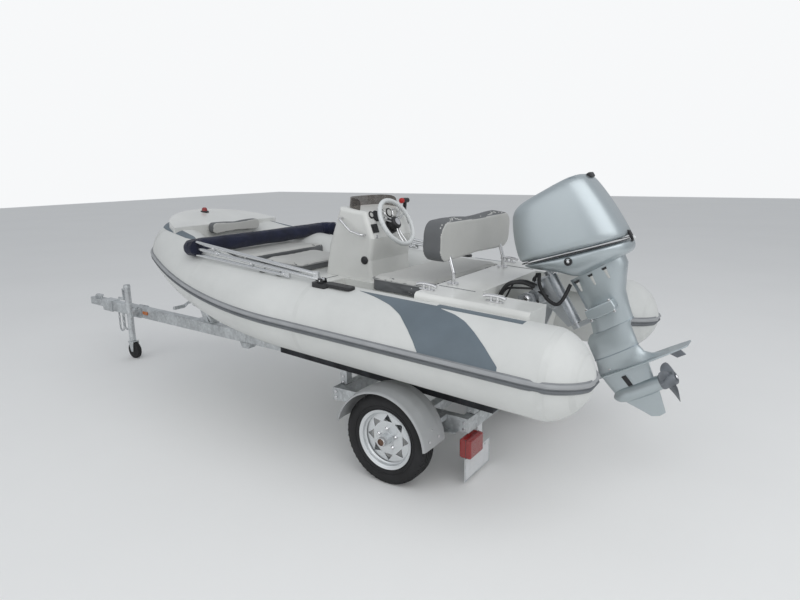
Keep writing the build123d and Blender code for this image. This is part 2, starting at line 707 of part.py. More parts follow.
with BuildPart() as transom:
    with BuildSketch(buttock(0)):
        with BuildLine():
            Polyline((transom_x(TRANSOM_TOP), TRANSOM_TOP),
                     (transom_x(TRANSOM_TOP, TRANSOM_T), TRANSOM_TOP),
                     (transom_x(KEEL_Z, TRANSOM_T), KEEL_Z), (transom_x(KEEL_Z), KEEL_Z), close=True)
        make_face()
    extrude(amount=HULL_HALF, both=True)
    with BuildSketch(station(TRANSOM_AFT - 20)):
        with BuildLine():
            reach = HULL_HALF + 5
            Polyline((0, KEEL_Z), (reach, hull_bottom(reach)), (reach, KEEL_Z - 50), (-reach, KEEL_Z - 50),
                     (-reach, hull_bottom(reach)), close=True)
        make_face()
    extrude(amount=TRANSOM_T + 200, mode=Mode.SUBTRACT)
    for solid in TUBES_GROWN:
        add(solid, mode=Mode.SUBTRACT)
finish(transom, "transom")


def block(x0, x1, y0, y1, z0, z1, mode=Mode.ADD, corner=0.0):
    # Box in the boat frame between two stations, two buttocks and two levels
    with BuildPart(mode=Mode.PRIVATE) as box:
        with BuildSketch(level(z0)):
            with Locations(((x0 + x1) / 2, (y0 + y1) / 2)):
                if corner:
                    RectangleRounded(x1 - x0, y1 - y0, corner)
                else:
                    Rectangle(x1 - x0, y1 - y0)
        extrude(amount=z1 - z0)
    add(box.part, mode=mode)


# Cockpit sole over the hull
SOLE_FRONT = 2300.0
with BuildPart() as sole:
    block(transom_x(0, TRANSOM_T) + 40, SOLE_FRONT, -HULL_HALF, HULL_HALF, HULL_TOP, SOLE_Z)
    for solid in TUBES_GROWN:
        add(solid, mode=Mode.SUBTRACT)
finish(sole, "cockpit_sole")

# Aft moulding: side decks, splash well and the bench with its locker
LOCKER_WALL = 22.0
with BuildPart() as aft_deck:
    block(WELL_FRONT, BENCH_AFT, -SIDE_DECK_OUT, SIDE_DECK_OUT, SOLE_Z, AFT_DECK_Z)
    for side in (1, -1):
        y0, y1 = sorted((side * SIDE_DECK_IN, side * SIDE_DECK_OUT))
        block(SIDE_DECK_AFT, BENCH_AFT, y0, y1, FORE_DECK_Z, AFT_DECK_Z)
        y0, y1 = sorted((side * WELL_HALF, side * SIDE_DECK_IN))
        block(TRANSOM_AFT + TRANSOM_T, BENCH_AFT, y0, y1, TRANSOM_TOP, AFT_DECK_Z)
    fillet(aft_deck.edges().filter_by(lambda e: abs(BOAT.to_local_coords(e.center()).Z - AFT_DECK_Z) < 1
                                      and abs(abs(e.center().Y) - SIDE_DECK_OUT) < 1), 25)
    block(transom_x(SOLE_Z, TRANSOM_T), WELL_FRONT, -SIDE_DECK_IN, SIDE_DECK_IN, SOLE_Z, 40)
    block(BENCH_AFT, BENCH_FRONT, -BENCH_HALF, BENCH_HALF, SOLE_Z, BENCH_Z - DECK_T)
    block(BENCH_AFT + LOCKER_WALL, BENCH_FRONT - LOCKER_WALL, -BENCH_HALF + LOCKER_WALL,
          BENCH_HALF - LOCKER_WALL, SOLE_Z + LOCKER_WALL, BENCH_Z, mode=Mode.SUBTRACT)
    with BuildSketch(buttock(0)):
        with BuildLine():
            Polyline((TRANSOM_AFT - 250, TRANSOM_TOP), (transom_x(TRANSOM_TOP, TRANSOM_T), TRANSOM_TOP),
                     (transom_x(SOLE_Z, TRANSOM_T), SOLE_Z), (TRANSOM_AFT - 250, SOLE_Z), close=True)
        make_face()
    extrude(amount=SIDE_DECK_OUT, both=True, mode=Mode.SUBTRACT)
    for solid in TUBES_GROWN:
        add(solid, mode=Mode.SUBTRACT)
finish(aft_deck, "aft_deck")

# Lids turn on their rounded edges
LID_GAP = 3.0
LID_R = (DECK_T - GAP) / 2


def lid_hinge(x, z, half):
    with BuildPart(mode=Mode.PRIVATE) as barrel:
        with BuildSketch(buttock(0)):
            with Locations((x, z)):
                Circle(LID_R)
        extrude(amount=half, both=True)
    add(barrel.part)


with BuildPart() as bench_lid:
    block(BENCH_AFT + LID_GAP, BENCH_FRONT, -BENCH_HALF, BENCH_HALF, BENCH_Z - DECK_T + GAP, BENCH_Z)
    lid_hinge(BENCH_FRONT, BENCH_Z - LID_R, BENCH_HALF)
finish(bench_lid, "bench_lid")

CUSHION_HALF = 468.0
AFT_CUSHION_T = 82.0
CUSHION_EDGE_R = 40.0
CUSHION_X = (BENCH_AFT + 12, BENCH_FRONT + 30)
with BuildPart() as aft_cushion:
    with BuildSketch(buttock(0)):
        with BuildLine():
            low, top, r = BENCH_Z + GAP, BENCH_Z + AFT_CUSHION_T, CUSHION_EDGE_R
            aft, front = CUSHION_X
            Polyline((aft, top - r), (aft, low), (front, low), (front, top - r))
            RadiusArc((front, top - r), (front - r, top), -r)
            Line((front - r, top), (aft + r, top))
            RadiusArc((aft + r, top), (aft, top - r), -r)
        make_face()
    extrude(amount=CUSHION_HALF, both=True)
finish(aft_cushion, "aft_cushion")

# Backrest on its two bent posts
POST_X = 815.0
POST_Y = 325.0
REST_X = 910.0
REST_T = 100.0
REST_HALF = 455.0
REST_Z = (372.0, 602.0)
REST_EDGE_R = 40.0
with BuildPart() as backrest_posts:
    for side in (1, -1):
        with BuildLine() as post_line:
            FilletPolyline(boat_point(POST_X, side * POST_Y, AFT_DECK_Z + 6),
                           boat_point(POST_X, side * POST_Y, AFT_DECK_Z + 60),
                           boat_point(POST_X + 36, side * POST_Y, REST_Z[0] + 40),
                           boat_point(POST_X + 36, side * POST_Y, REST_Z[1] - 60), radius=30)
        with BuildSketch(Plane(boat_point(POST_X, side * POST_Y, AFT_DECK_Z + 6), x_dir=(0, 1, 0),
                               z_dir=BOAT.z_dir)):
            Circle(11)
        sweep(path=post_line.wires()[0])
        with BuildSketch(level(AFT_DECK_Z + GAP)):
            with Locations((POST_X, side * POST_Y)):
                Circle(32)
        extrude(amount=10)
finish(backrest_posts, "backrest_posts")

with BuildPart() as backrest:
    with BuildSketch(buttock(0)):
        with Locations((REST_X, (REST_Z[0] + REST_Z[1]) / 2)):
            RectangleRounded(REST_T, REST_Z[1] - REST_Z[0], REST_EDGE_R)
    extrude(amount=REST_HALF, both=True)
    with BuildSketch(station(REST_X - REST_T)):
        with Locations((0, (REST_Z[0] + REST_Z[1]) / 2)):
            RectangleRounded(2 * REST_HALF, REST_Z[1] - REST_Z[0], 90)
    extrude(amount=2 * REST_T, mode=Mode.INTERSECT)
    add(backrest_posts.part, mode=Mode.SUBTRACT)
finish(backrest, "backrest")

# Fore moulding: the raised foredeck, the console plinth and the bow locker
FORE_AFT = 1700.0
PLINTH_AFT = 1470.0
FORE_LOCKER = (2000.0, 2340.0)
FORE_LOCKER_HALF = 230.0
with BuildPart() as fore_deck:
    with BuildSketch(level(SOLE_Z)):
        with BuildLine():
            Polyline((FORE_AFT, -530), (2350, -500), (2800, -380), (3140, -200), (3140, 200), (2800, 380),
                     (2350, 500), (FORE_AFT, 530), close=True)
        make_face()
    extrude(amount=FORE_DECK_Z - SOLE_Z)
    block(PLINTH_AFT, FORE_AFT, CONSOLE_Y - CONSOLE_W / 2 - 30, CONSOLE_Y + CONSOLE_W / 2 + 30, SOLE_Z,
          FORE_DECK_Z)
    block(FORE_LOCKER[0], FORE_LOCKER[1], -FORE_LOCKER_HALF, FORE_LOCKER_HALF, SOLE_Z + LOCKER_WALL,
          FORE_DECK_Z, mode=Mode.SUBTRACT)
    block(FORE_LOCKER[0] - LOCKER_WALL, FORE_LOCKER[1] + LOCKER_WALL, -FORE_LOCKER_HALF - LOCKER_WALL,
          FORE_LOCKER_HALF + LOCKER_WALL, FORE_DECK_Z - DECK_T, FORE_DECK_Z, mode=Mode.SUBTRACT)
    for solid in TUBES_GROWN + [hull.part]:
        add(solid, mode=Mode.SUBTRACT)
finish(fore_deck, "fore_deck")

FORE_HINGE_X = FORE_LOCKER[0] - LOCKER_WALL + LID_GAP + LID_R
FORE_LID_HALF = FORE_LOCKER_HALF + LOCKER_WALL - LID_GAP
with BuildPart() as fore_lid:
    block(FORE_HINGE_X, FORE_LOCKER[1] + LOCKER_WALL - LID_GAP, -FORE_LID_HALF, FORE_LID_HALF,
          FORE_DECK_Z - DECK_T + GAP, FORE_DECK_Z)
    lid_hinge(FORE_HINGE_X, FORE_DECK_Z - LID_R, FORE_LID_HALF)
finish(fore_lid, "fore_lid")

PAD_T = 58.0
FORE_PAD_FRONT = FORE_LOCKER[1] + LOCKER_WALL - LID_GAP
FORE_PAD_HALF = 270.0
with BuildPart() as fore_cushion:
    block(FORE_LOCKER[0], FORE_PAD_FRONT, -FORE_PAD_HALF, FORE_PAD_HALF, FORE_DECK_Z + GAP,
          FORE_DECK_Z + PAD_T, corner=30)
finish(fore_cushion, "fore_cushion")

# Bow seat cushion in a U along the tubes
with BuildPart() as bow_cushion:
    with BuildSketch(level(FORE_DECK_Z + GAP)):
        with BuildLine():
            Polyline((2375, -430), (2700, -330), (2915, -230), (2915, 230), (2700, 330), (2375, 430),
                     close=True)
        make_face()
    extrude(amount=80)
    for solid in TUBES_GROWN:
        add(solid, mode=Mode.SUBTRACT)
finish(bow_cushion, "bow_cushion")

BOW_REST_X = (2925.0, 2995.0)
with BuildPart() as bow_backrest:
    block(BOW_REST_X[0], BOW_REST_X[1], -300, 300, FORE_DECK_Z + 90, 372, corner=25)
    for solid in TUBES_GROWN:
        add(solid, mode=Mode.SUBTRACT)
finish(bow_backrest, "bow_backrest")

# Bow cap over the tubes with its anchor locker
CAP_AFT = 3000.0
CAP_FRONT = 3365.0
CAP_SLOPE = 11.0
with BuildPart() as bow_cap:
    with BuildSketch(level(FORE_DECK_Z)):
        with BuildLine():
            Line((CAP_AFT, -500), (CAP_AFT, 500))
            Line((CAP_AFT, 500), (3138, 442))
            ThreePointArc((3138, 442), (CAP_FRONT, 0), (3138, -442))
            Line((3138, -442), (CAP_AFT, -500))
        make_face()
    extrude(amount=300)
    with BuildSketch(buttock(0)):
        with BuildLine():
            Polyline((CAP_AFT - 20, 352), (CAP_FRONT + 50, 352 + 435 * tan(radians(CAP_SLOPE))),
                     (CAP_FRONT + 50, 600), (CAP_AFT - 20, 600), close=True)
        make_face()
    extrude(amount=600, both=True, mode=Mode.SUBTRACT)
    for solid in TUBES_GROWN:
        add(solid, mode=Mode.SUBTRACT)
finish(bow_cap, "bow_cap")

# Console on its plinth
CONSOLE_SIDE = ((1890, FORE_DECK_Z + GAP), (1862, 326), (1775, 585), (1570, 570), (1500, 405), (1515, 260),
                (1500, FORE_DECK_Z + GAP))
with BuildPart() as console:
    with BuildSketch(buttock(CONSOLE_Y)):
        with BuildLine():
            Polyline(*CONSOLE_SIDE, close=True)
        make_face()
    extrude(amount=CONSOLE_W / 2, both=True)
    fillet(console.edges().filter_by(lambda e: abs(abs(e.center().Y - CONSOLE_Y) - CONSOLE_W / 2) < 1
                                     and BOAT.to_local_coords(e.center()).Z > FORE_DECK_Z + 5), 28)
finish(console, "console")

SCREEN_T = 5.0
with BuildPart() as windscreen:
    with BuildSketch(level(560)):
        with BuildLine():
            FilletPolyline((1630, CONSOLE_Y + 205), (1752, CONSOLE_Y + 190), (1752, CONSOLE_Y - 190),
                           (1630, CONSOLE_Y - 205), radius=50)
        trace(line_width=SCREEN_T)
    extrude(amount=88)
    add(console.part, mode=Mode.SUBTRACT)
finish(windscreen, "windscreen")

with BuildPart() as console_rail:
    face_y = CONSOLE_Y + CONSOLE_W / 2
    with BuildLine() as rail_bar:
        FilletPolyline(boat_point(1745, face_y + GAP, 515), boat_point(1745, face_y + 38, 515),
                       boat_point(1650, face_y + 42, 445), boat_point(1560, face_y + 38, 425),
                       boat_point(1560, face_y + GAP, 425), radius=18)
    with BuildSketch(Plane(boat_point(1745, face_y + GAP, 515), z_dir=(0, 1, 0))):
        Circle(8)
    sweep(path=rail_bar.wires()[0])
finish(console_rail, "console_rail")

# Helm: bezel on the dash and the wheel that turns on it
HELM_DIR = Vector(-cos(radians(HELM_TILT - BOAT_PITCH)), 0, sin(radians(HELM_TILT - BOAT_PITCH)))
HELM_CENTRE = boat_point(HELM_X, CONSOLE_Y, HELM_Z)


def helm_plane(back=0.0):
    return Plane(HELM_CENTRE - HELM_DIR * back, x_dir=(0, 1, 0), z_dir=HELM_DIR)


HELM_RIM_R = 15.0
HELM_HUB_DEPTH = 42.0
with BuildPart() as helm_mount:
    with BuildSketch(helm_plane(110)):
        Circle(52)
    extrude(amount=110 - HELM_HUB_DEPTH - GAP)
    add(console.part, mode=Mode.SUBTRACT)
helm_mount_solid = helm_mount.part.solids().sort_by(SortBy.VOLUME)[-1]
with BuildPart() as helm_bezel:
    add(helm_mount_solid)
finish(helm_bezel, "helm_bezel")

with BuildPart() as helm_wheel:
    with BuildSketch(Plane(HELM_CENTRE, x_dir=(0, 1, 0), z_dir=HELM_DIR.cross(Vector(0, 1, 0)))):
        with Locations((HELM_R - HELM_RIM_R, 0)):
            Circle(HELM_RIM_R)
    revolve(axis=Axis(HELM_CENTRE, HELM_DIR))
    with BuildSketch(helm_plane(HELM_HUB_DEPTH)):
        Circle(46)
    extrude(amount=HELM_HUB_DEPTH + 10)
    for a in (90, 210, 330):
        with BuildSketch(helm_plane(12)):
            with Locations(Rotation(0, 0, a) * Location(((HELM_R - HELM_RIM_R) / 2, 0))):
                Rectangle(HELM_R - HELM_RIM_R, 24)
        extrude(amount=6)
finish(helm_wheel, "helm_wheel")

with BuildPart() as control_box:
    stb_face = CONSOLE_Y - CONSOLE_W / 2
    block(1560, 1680, stb_face - 45, stb_face - GAP, 390, 500, corner=8)
    with BuildSketch(buttock(stb_face - 45)):
        with BuildLine():
            Polyline((1600, 430), (1635, 430), (1612, 600), (1592, 600), close=True)
        make_face()
    extrude(amount=14)
    with BuildSketch(buttock(stb_face - 20)):
        with Locations((1602, 612)):
            Circle(17)
    extrude(amount=60)
finish(control_box, "control_box")

# Cleats on the side decks
CLEAT_XS = (470.0, 860.0)
CLEAT_Y = 530.0
with BuildPart() as cleats:
    for side in (1, -1):
        for x in CLEAT_XS:
            block(x - 30, x + 30, side * CLEAT_Y - 16, side * CLEAT_Y + 16, AFT_DECK_Z + GAP,
                  AFT_DECK_Z + 5, corner=10)
            block(x - 20, x + 20, side * CLEAT_Y - 7, side * CLEAT_Y + 7, AFT_DECK_Z + 5, AFT_DECK_Z + 24)
            with BuildSketch(station(x - 62)):
                with Locations((side * CLEAT_Y, AFT_DECK_Z + 28)):
                    Circle(8)
            extrude(amount=124)
finish(cleats, "cleats")

# Bimini: hinges on the tubes, the folded frame and its canvas roll
BIMINI_Z = 242.0
BIMINI_HINGE = Vector(BIMINI_X + 28, 0, BIMINI_Z)
LEG_Y = 700.0
BOOT_X = 2611.0
BOOT_Z = 285.0
BOOT_AFT = 2476.0
HINGE_PIN_R = 5.0
with BuildPart() as bimini_hinges:
    for side in (1, -1):
        block(BIMINI_HINGE.X - 55, BIMINI_HINGE.X + 55, side * LEG_Y - 36, side * LEG_Y + 36, 120,
              BIMINI_Z - 14, corner=20)
        for y in (-17, 17):
            with BuildSketch(buttock(side * LEG_Y + y)):
                with BuildLine():
                    Polyline((BIMINI_HINGE.X - 22, BIMINI_Z - 17), (BIMINI_HINGE.X + 22, BIMINI_Z - 17),
                             (BIMINI_HINGE.X + 14, BIMINI_Z + 12), (BIMINI_HINGE.X - 14, BIMINI_Z + 12),
                             close=True)
                make_face()
                with Locations((BIMINI_HINGE.X, BIMINI_Z)):
                    Circle(HINGE_PIN_R + GAP, mode=Mode.SUBTRACT)
            extrude(amount=3, both=True)
    for solid in TUBES_GROWN:
        add(solid, mode=Mode.SUBTRACT)
finish(bimini_hinges, "bimini_hinges")

LEG_TABLE = (  # start x, start z, end x, end z
    (1436.0, 242.0, 2530.0, 292.0),
    (1475.0, 270.0, 2500.0, 330.0),
    (1690.0, 228.0, 2500.0, 252.0),
)
with BuildPart() as bimini_frame:
    for side in (1, -1):
        for x0, z0, x1, z1 in LEG_TABLE:
            start = boat_point(x0, side * LEG_Y, z0)
            end = boat_point(x1, side * LEG_Y, z1)
            with BuildSketch(Plane(start, z_dir=end - start)):
                Circle(BIMINI_TUBE_R)
            extrude(amount=(end - start).length)
        with BuildSketch(buttock(side * LEG_Y)):
            with Locations((BIMINI_HINGE.X, BIMINI_Z)):
                Circle(13)
        extrude(amount=12, both=True)
        with BuildSketch(buttock(side * LEG_Y)):
            with Locations((BIMINI_HINGE.X, BIMINI_Z)):
                Circle(HINGE_PIN_R)
        extrude(amount=23, both=True)
        with BuildSketch(buttock(side * LEG_Y)):
            with BuildLine():
                Polyline((1455, 238), (1495, 240), (1495, 284), (1462, 284), close=True)
            make_face()
            with BuildLine():
                Polyline((1680, 220), (1715, 220), (1715, 262), (1680, 262), close=True)
            make_face()
        extrude(amount=9, both=True)
finish(bimini_frame, "bimini_frame")

TUBES_CLEAR = [tube_side(1, 5), tube_side(-1, 5)]
with BuildPart() as bimini_boot:
    boot_end = boat_point(BOOT_AFT, LEG_Y, BOOT_Z + 10)
    boot_turn = boat_point(BOOT_X, LEG_Y, BOOT_Z)
    with BuildLine() as boot_line:
        FilletPolyline(boot_end, boot_turn, boat_point(BOOT_X, -LEG_Y, BOOT_Z),
                       boat_point(BOOT_AFT, -LEG_Y, BOOT_Z + 10), radius=75)
    with BuildSketch(Plane(boot_end, z_dir=boot_turn - boot_end)):
        Circle(BOOT_R)
    sweep(path=boot_line.wires()[0])
    for solid in TUBES_CLEAR + [bimini_frame.part]:
        add(solid, mode=Mode.SUBTRACT)
finish(bimini_boot, "bimini_boot")

# Outboard: clamp bracket on the transom, swivel bracket that tilts, engine that steers, propeller
BRACKET_Y = 95.0
BRACKET_T = 18.0
with BuildPart() as clamp_bracket:
    for side in (1, -1):
        with BuildSketch(buttock(side * BRACKET_Y)):
            with BuildLine():
                Polyline((PIVOT_X + 60, TRANSOM_TOP + GAP), (PIVOT_X + 60, TRANSOM_TOP + 40),
                         (PIVOT_X + 22, PIVOT_Z + 28), (PIVOT_X - 22, PIVOT_Z + 28),
                         (transom_x(100) - 70, 100), (transom_x(-150) - 45, -150),
                         (transom_x(-150) - GAP, -150), (transom_x(TRANSOM_TOP) - GAP, TRANSOM_TOP + GAP),
                         close=True)
            make_face()
            with Locations((PIVOT_X, PIVOT_Z)):
                Circle(14 + GAP, mode=Mode.SUBTRACT)
        extrude(amount=BRACKET_T / 2, both=True)
        with BuildSketch(buttock(side * BRACKET_Y)):
            with BuildLine():
                Polyline((transom_x(TRANSOM_TOP, TRANSOM_T) + GAP, TRANSOM_TOP + GAP),
                         (PIVOT_X + 60, TRANSOM_TOP + 30), (PIVOT_X + 70, 40),
                         (transom_x(40, TRANSOM_T) + 15, 40), (transom_x(90, TRANSOM_T) + 15, 90),
                         close=True)
            make_face()
        extrude(amount=BRACKET_T / 2, both=True)
finish(clamp_bracket, "clamp_bracket")

STEER_R = 30.0
KINGPIN_R = 14.0
SWIVEL_Z = (-235.0, 60.0)
with BuildPart() as swivel_bracket:
    with BuildSketch(buttock(0)):
        with Locations((PIVOT_X, PIVOT_Z)):
            Circle(14)
    extrude(amount=BRACKET_Y + BRACKET_T / 2 + 25, both=True)
    with BuildSketch(engine_side()):
        with BuildLine():
            Polyline((20, -22), (20, 24), (STEER_X + 10, SWIVEL_Z[1]), (STEER_X, SWIVEL_Z[1]),
                     (STEER_X, SWIVEL_Z[0]), (STEER_X + 25, SWIVEL_Z[0]), (STEER_X + 60, -120), (-32, -30),
                     close=True)
        make_face()
    extrude(amount=BRACKET_Y - BRACKET_T / 2 - 22, both=True)
    with BuildSketch(engine_level(SWIVEL_Z[0])):
        with Locations((STEER_X, 0)):
            Circle(STEER_R)
    extrude(amount=SWIVEL_Z[1] - SWIVEL_Z[0])
    with BuildSketch(engine_level(SWIVEL_Z[0])):
        with BuildLine():
            Polyline((STEER_X - 80, 120), (STEER_X, 20), (STEER_X, -20), (STEER_X - 80, -120), close=True)
        make_face()
        with Locations((STEER_X, 0)):
            Circle(STEER_R, mode=Mode.SUBTRACT)
    extrude(amount=SWIVEL_Z[1] - SWIVEL_Z[0], mode=Mode.SUBTRACT)
    with BuildSketch(engine_level(SWIVEL_Z[0])):
        with Locations((STEER_X, 0)):
            Circle(KINGPIN_R + GAP)
    extrude(amount=SWIVEL_Z[1] - SWIVEL_Z[0], mode=Mode.SUBTRACT)
finish(swivel_bracket, "swivel_bracket")

PART_FRONT = (-44.0, 188.0)
PART_AFT = (-610.0, 48.0)
COWL_FRONT = -44.0
COWL_AFT = -612.0
COWL_TOP = 472.0
COWL_CORNER_R = 80.0


def part_line(x):
    # Height of the line where the two cowls meet
    slope = (PART_FRONT[1] - PART_AFT[1]) / (PART_FRONT[0] - PART_AFT[0])
    return PART_AFT[1] + (x - PART_AFT[0]) * slope


def cowl_limits(half):
    # Plan and front outlines that round the cowl's corners
    with BuildPart(mode=Mode.PRIVATE) as plan:
        with BuildSketch(engine_level(-100)):
            with Locations(((COWL_FRONT + COWL_AFT) / 2, 0)):
                RectangleRounded(COWL_FRONT - COWL_AFT, 2 * half, COWL_CORNER_R)
        extrude(amount=COWL_TOP + 200)
    with BuildPart(mode=Mode.PRIVATE) as front:
        with BuildSketch(engine_station(COWL_AFT - 10)):
            with Locations((0, COWL_TOP / 2 - 97)):
                RectangleRounded(2 * half + 4, COWL_TOP + 206, COWL_CORNER_R)
        extrude(amount=COWL_FRONT - COWL_AFT + 20)
    return plan.part, front.part


with BuildPart() as cowl:
    with BuildSketch(engine_side()):
        with BuildLine():
            Polyline((-574, 400), (COWL_AFT, 160), (COWL_AFT, part_line(COWL_AFT)),
                     (COWL_FRONT, part_line(COWL_FRONT)), (-48, 235), (-118, 410))
            ThreePointArc((-118, 410), (-150, 452), (-205, COWL_TOP))
            Line((-205, COWL_TOP), (-500, 462))
            ThreePointArc((-500, 462), (-548, 446), (-574, 400))
        make_face()
    extrude(amount=COWL_W, both=True)
    for solid in cowl_limits(COWL_W / 2):
        add(solid, mode=Mode.INTERSECT)
finish(cowl, "cowl")

with BuildPart() as lower_cowl:
    with BuildSketch(engine_side()):
        with BuildLine():
            Polyline((-50, part_line(-50) - GAP), (-606, part_line(-606) - GAP), (-590, -21), (-300, -21),
                     (-240, 40), (-66, 132), close=True)
        make_face()
    extrude(amount=COWL_W, both=True)
    add(cowl_limits(COWL_W / 2 - 6)[0], mode=Mode.INTERSECT)
finish(lower_cowl, "lower_cowl")


def engine_case(points, half, corner):
    # Casing with the given side outline and half width, its plan rounded at the corners
    xs = [x for x, z in points]
    zs = [z for x, z in points]
    with BuildPart(mode=Mode.PRIVATE) as case:
        with BuildSketch(engine_side()):
            with BuildLine():
                Polyline(*points, close=True)
            make_face()
        extrude(amount=half, both=True)
        with BuildSketch(engine_level(min(zs) - 10)):
            with Locations(((min(xs) + max(xs)) / 2, 0)):
                RectangleRounded(max(xs) - min(xs), 2 * half, corner)
        extrude(amount=max(zs) - min(zs) + 20, mode=Mode.INTERSECT)
    return case.part


MID_HALF = 78.0
LEG_HALF = 44.0
STRUT_HALF = 20.0
GEAR_R = 44.0
GEAR_AFT = -400.0
COVER_HALF = 118.0
YOKE_T = 24.0
with BuildPart() as leg:
    # Mid case with its side covers, the leg and the strut below the cavitation plate
    add(engine_case(((-234, -21.3), (-234, -200), (-200, -330), (-430, -330), (-458, -184), (-537, -60),
                     (-537, -21.3)), MID_HALF, 55))
    add(engine_case(((-262, -192), (-262, -250), (-405, -250), (-405, -192)), COVER_HALF, 25))
    add(engine_case(((-200, -328), (-147, -356), (-135, -500), (-114, AV_Z), (-440, AV_Z), (-381, -497),
                     (-399, -356), (-430, -328)), LEG_HALF, 40))
    add(engine_case(((-128, AV_Z), (-150, SHAFT_Z), (-372, SHAFT_Z), (-392, AV_Z)), STRUT_HALF, 19))
    with BuildSketch(engine_level(AV_Z - 4.5)):
        with BuildLine():
            Polyline((-114, 45), (-114, -45), (-420, -95), (-617, -60), (-617, 60), (-420, 95), close=True)
        make_face()
    extrude(amount=9)
    # Gear case and skeg
    with BuildSketch(engine_side()):
        with BuildLine():
            Line((-134, SHAFT_Z), (GEAR_AFT, SHAFT_Z))
            Line((GEAR_AFT, SHAFT_Z), (GEAR_AFT, SHAFT_Z + GEAR_R - 8))
            Line((GEAR_AFT, SHAFT_Z + GEAR_R - 8), (-230, SHAFT_Z + GEAR_R))
            ThreePointArc((-230, SHAFT_Z + GEAR_R), (-165, SHAFT_Z + 32), (-138, SHAFT_Z + 8))
            Line((-138, SHAFT_Z + 8), (-134, SHAFT_Z))
        make_face()
    revolve(axis=Axis(engine_point(-134, 0, SHAFT_Z), ENGINE.x_dir))
    with BuildSketch(engine_side()):
        with BuildLine():
            Polyline((-170, SHAFT_Z - 20), (-375, SHAFT_Z - 20), (-345, -845), (-310, -852), (-270, -840),
                     close=True)
        make_face()
    extrude(amount=6, both=True)
    # Yokes above and below the swivel tube, on the kingpin that turns in it
    for z in (SWIVEL_Z[0] - YOKE_T - 5, SWIVEL_Z[1] + 5):
        with BuildSketch(engine_level(z)):
            with Locations((STEER_X, 0)):
                Circle(STEER_R)
            with Locations((STEER_X - 75, 0)):
                Rectangle(150, 50)
        extrude(amount=YOKE_T)
    with BuildSketch(engine_level(SWIVEL_Z[0] - YOKE_T)):
        with Locations((STEER_X, 0)):
            Circle(KINGPIN_R)
    extrude(amount=SWIVEL_Z[1] - SWIVEL_Z[0] + 2 * YOKE_T)
    add(lower_cowl.part, mode=Mode.SUBTRACT)
finish(leg, "engine_leg")

PROP_HUB_R = 40.0
PROP_HUB_L = 20.0
PROP_TAPER_L = 58.0
PROP_BLADE_X = 38.0
PROP_X = GEAR_AFT - GAP
BLADES = 3
BLADE_PITCH = 24.0
ASTERN = ENGINE.x_dir * -1
with BuildPart() as propeller:
    with BuildSketch(Plane(engine_point(PROP_X, 0, SHAFT_Z), x_dir=(0, 1, 0), z_dir=ASTERN)):
        Circle(PROP_HUB_R)
    extrude(amount=PROP_HUB_L)
    with BuildSketch(Plane(engine_point(PROP_X - PROP_HUB_L, 0, SHAFT_Z), x_dir=(0, 1, 0), z_dir=ASTERN)):
        Circle(PROP_HUB_R)
    extrude(amount=PROP_TAPER_L, taper=4)
    for i in range(BLADES):
        a = radians(360 * i / BLADES + 25)
        radial = Vector(0, 1, 0) * cos(a) + ENGINE.z_dir * sin(a)
        across = ASTERN.cross(radial)
        chord = across * cos(radians(BLADE_PITCH)) + ASTERN * sin(radians(BLADE_PITCH))
        with BuildSketch(Plane(engine_point(PROP_X - PROP_BLADE_X, 0, SHAFT_Z), x_dir=radial,
                               z_dir=radial.cross(chord))):
            with Locations((0.62 * PROP_R, 0)):
                Ellipse(0.38 * PROP_R, 0.34 * PROP_R)
        extrude(amount=3, both=True)
finish(propeller, "propeller")
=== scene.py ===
import math

import bmesh
import bpy
from mathutils import Matrix, Vector, noise


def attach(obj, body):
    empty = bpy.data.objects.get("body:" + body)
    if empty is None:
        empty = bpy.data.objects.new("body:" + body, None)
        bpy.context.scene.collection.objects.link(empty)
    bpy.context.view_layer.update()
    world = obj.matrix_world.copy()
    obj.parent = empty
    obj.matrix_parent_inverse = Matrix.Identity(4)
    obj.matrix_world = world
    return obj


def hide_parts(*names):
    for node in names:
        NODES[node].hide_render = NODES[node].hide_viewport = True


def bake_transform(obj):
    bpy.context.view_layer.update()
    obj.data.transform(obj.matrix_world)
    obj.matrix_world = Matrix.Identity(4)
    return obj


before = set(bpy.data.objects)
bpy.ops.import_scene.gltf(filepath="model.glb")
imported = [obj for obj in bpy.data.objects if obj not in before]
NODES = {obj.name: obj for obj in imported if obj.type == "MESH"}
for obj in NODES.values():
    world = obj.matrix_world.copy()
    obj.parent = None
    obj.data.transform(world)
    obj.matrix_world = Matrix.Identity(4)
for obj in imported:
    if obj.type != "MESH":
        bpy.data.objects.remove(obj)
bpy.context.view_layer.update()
SCENE = bpy.context.scene

# Bodies, sides and units
BOAT_BODY = "boat_and_trailer"
BRACKET_BODY = "outboard_bracket"
ENGINE_BODY = "outboard"
SIDES = ((1, "port"), (-1, "starboard"))
MM = 0.001

# Places: the boat, the engine and the trailer's tongue each have a frame of their own, in millimetres
AXLE_X = -1377.0
STERN = Vector((AXLE_X - 990.0, 0, 766.0))
BOAT_PITCH = math.radians(3.37)
ENGINE_PITCH = math.radians(3.37 - 34.3)
PIVOT = (462.0, 0.0, 187.0)
TONGUE_ORIGIN = Vector((AXLE_X, 0, 350.0))
TONGUE_PITCH = math.radians(1.2)


def placed(origin, pitch, x, y, z):
    c, s = math.cos(pitch), math.sin(pitch)
    return (origin + Vector((x * c - z * s, y, x * s + z * c))) * MM


def boat(x, y, z):
    return placed(STERN, BOAT_PITCH, x, y, z)


def boat_on_edge(a, b, depth):
    """For an outline across and up."""
    return boat(depth, a, b)


def engine(x, y, z):
    return placed(boat(*PIVOT) * 1000.0, ENGINE_PITCH, x, y, z)


def engine_side(a, b, depth):
    """For an outline seen from the engine's side."""
    return engine(a, depth, b)


def tongue(x, y, z):
    return placed(TONGUE_ORIGIN, TONGUE_PITCH, x, y, z)


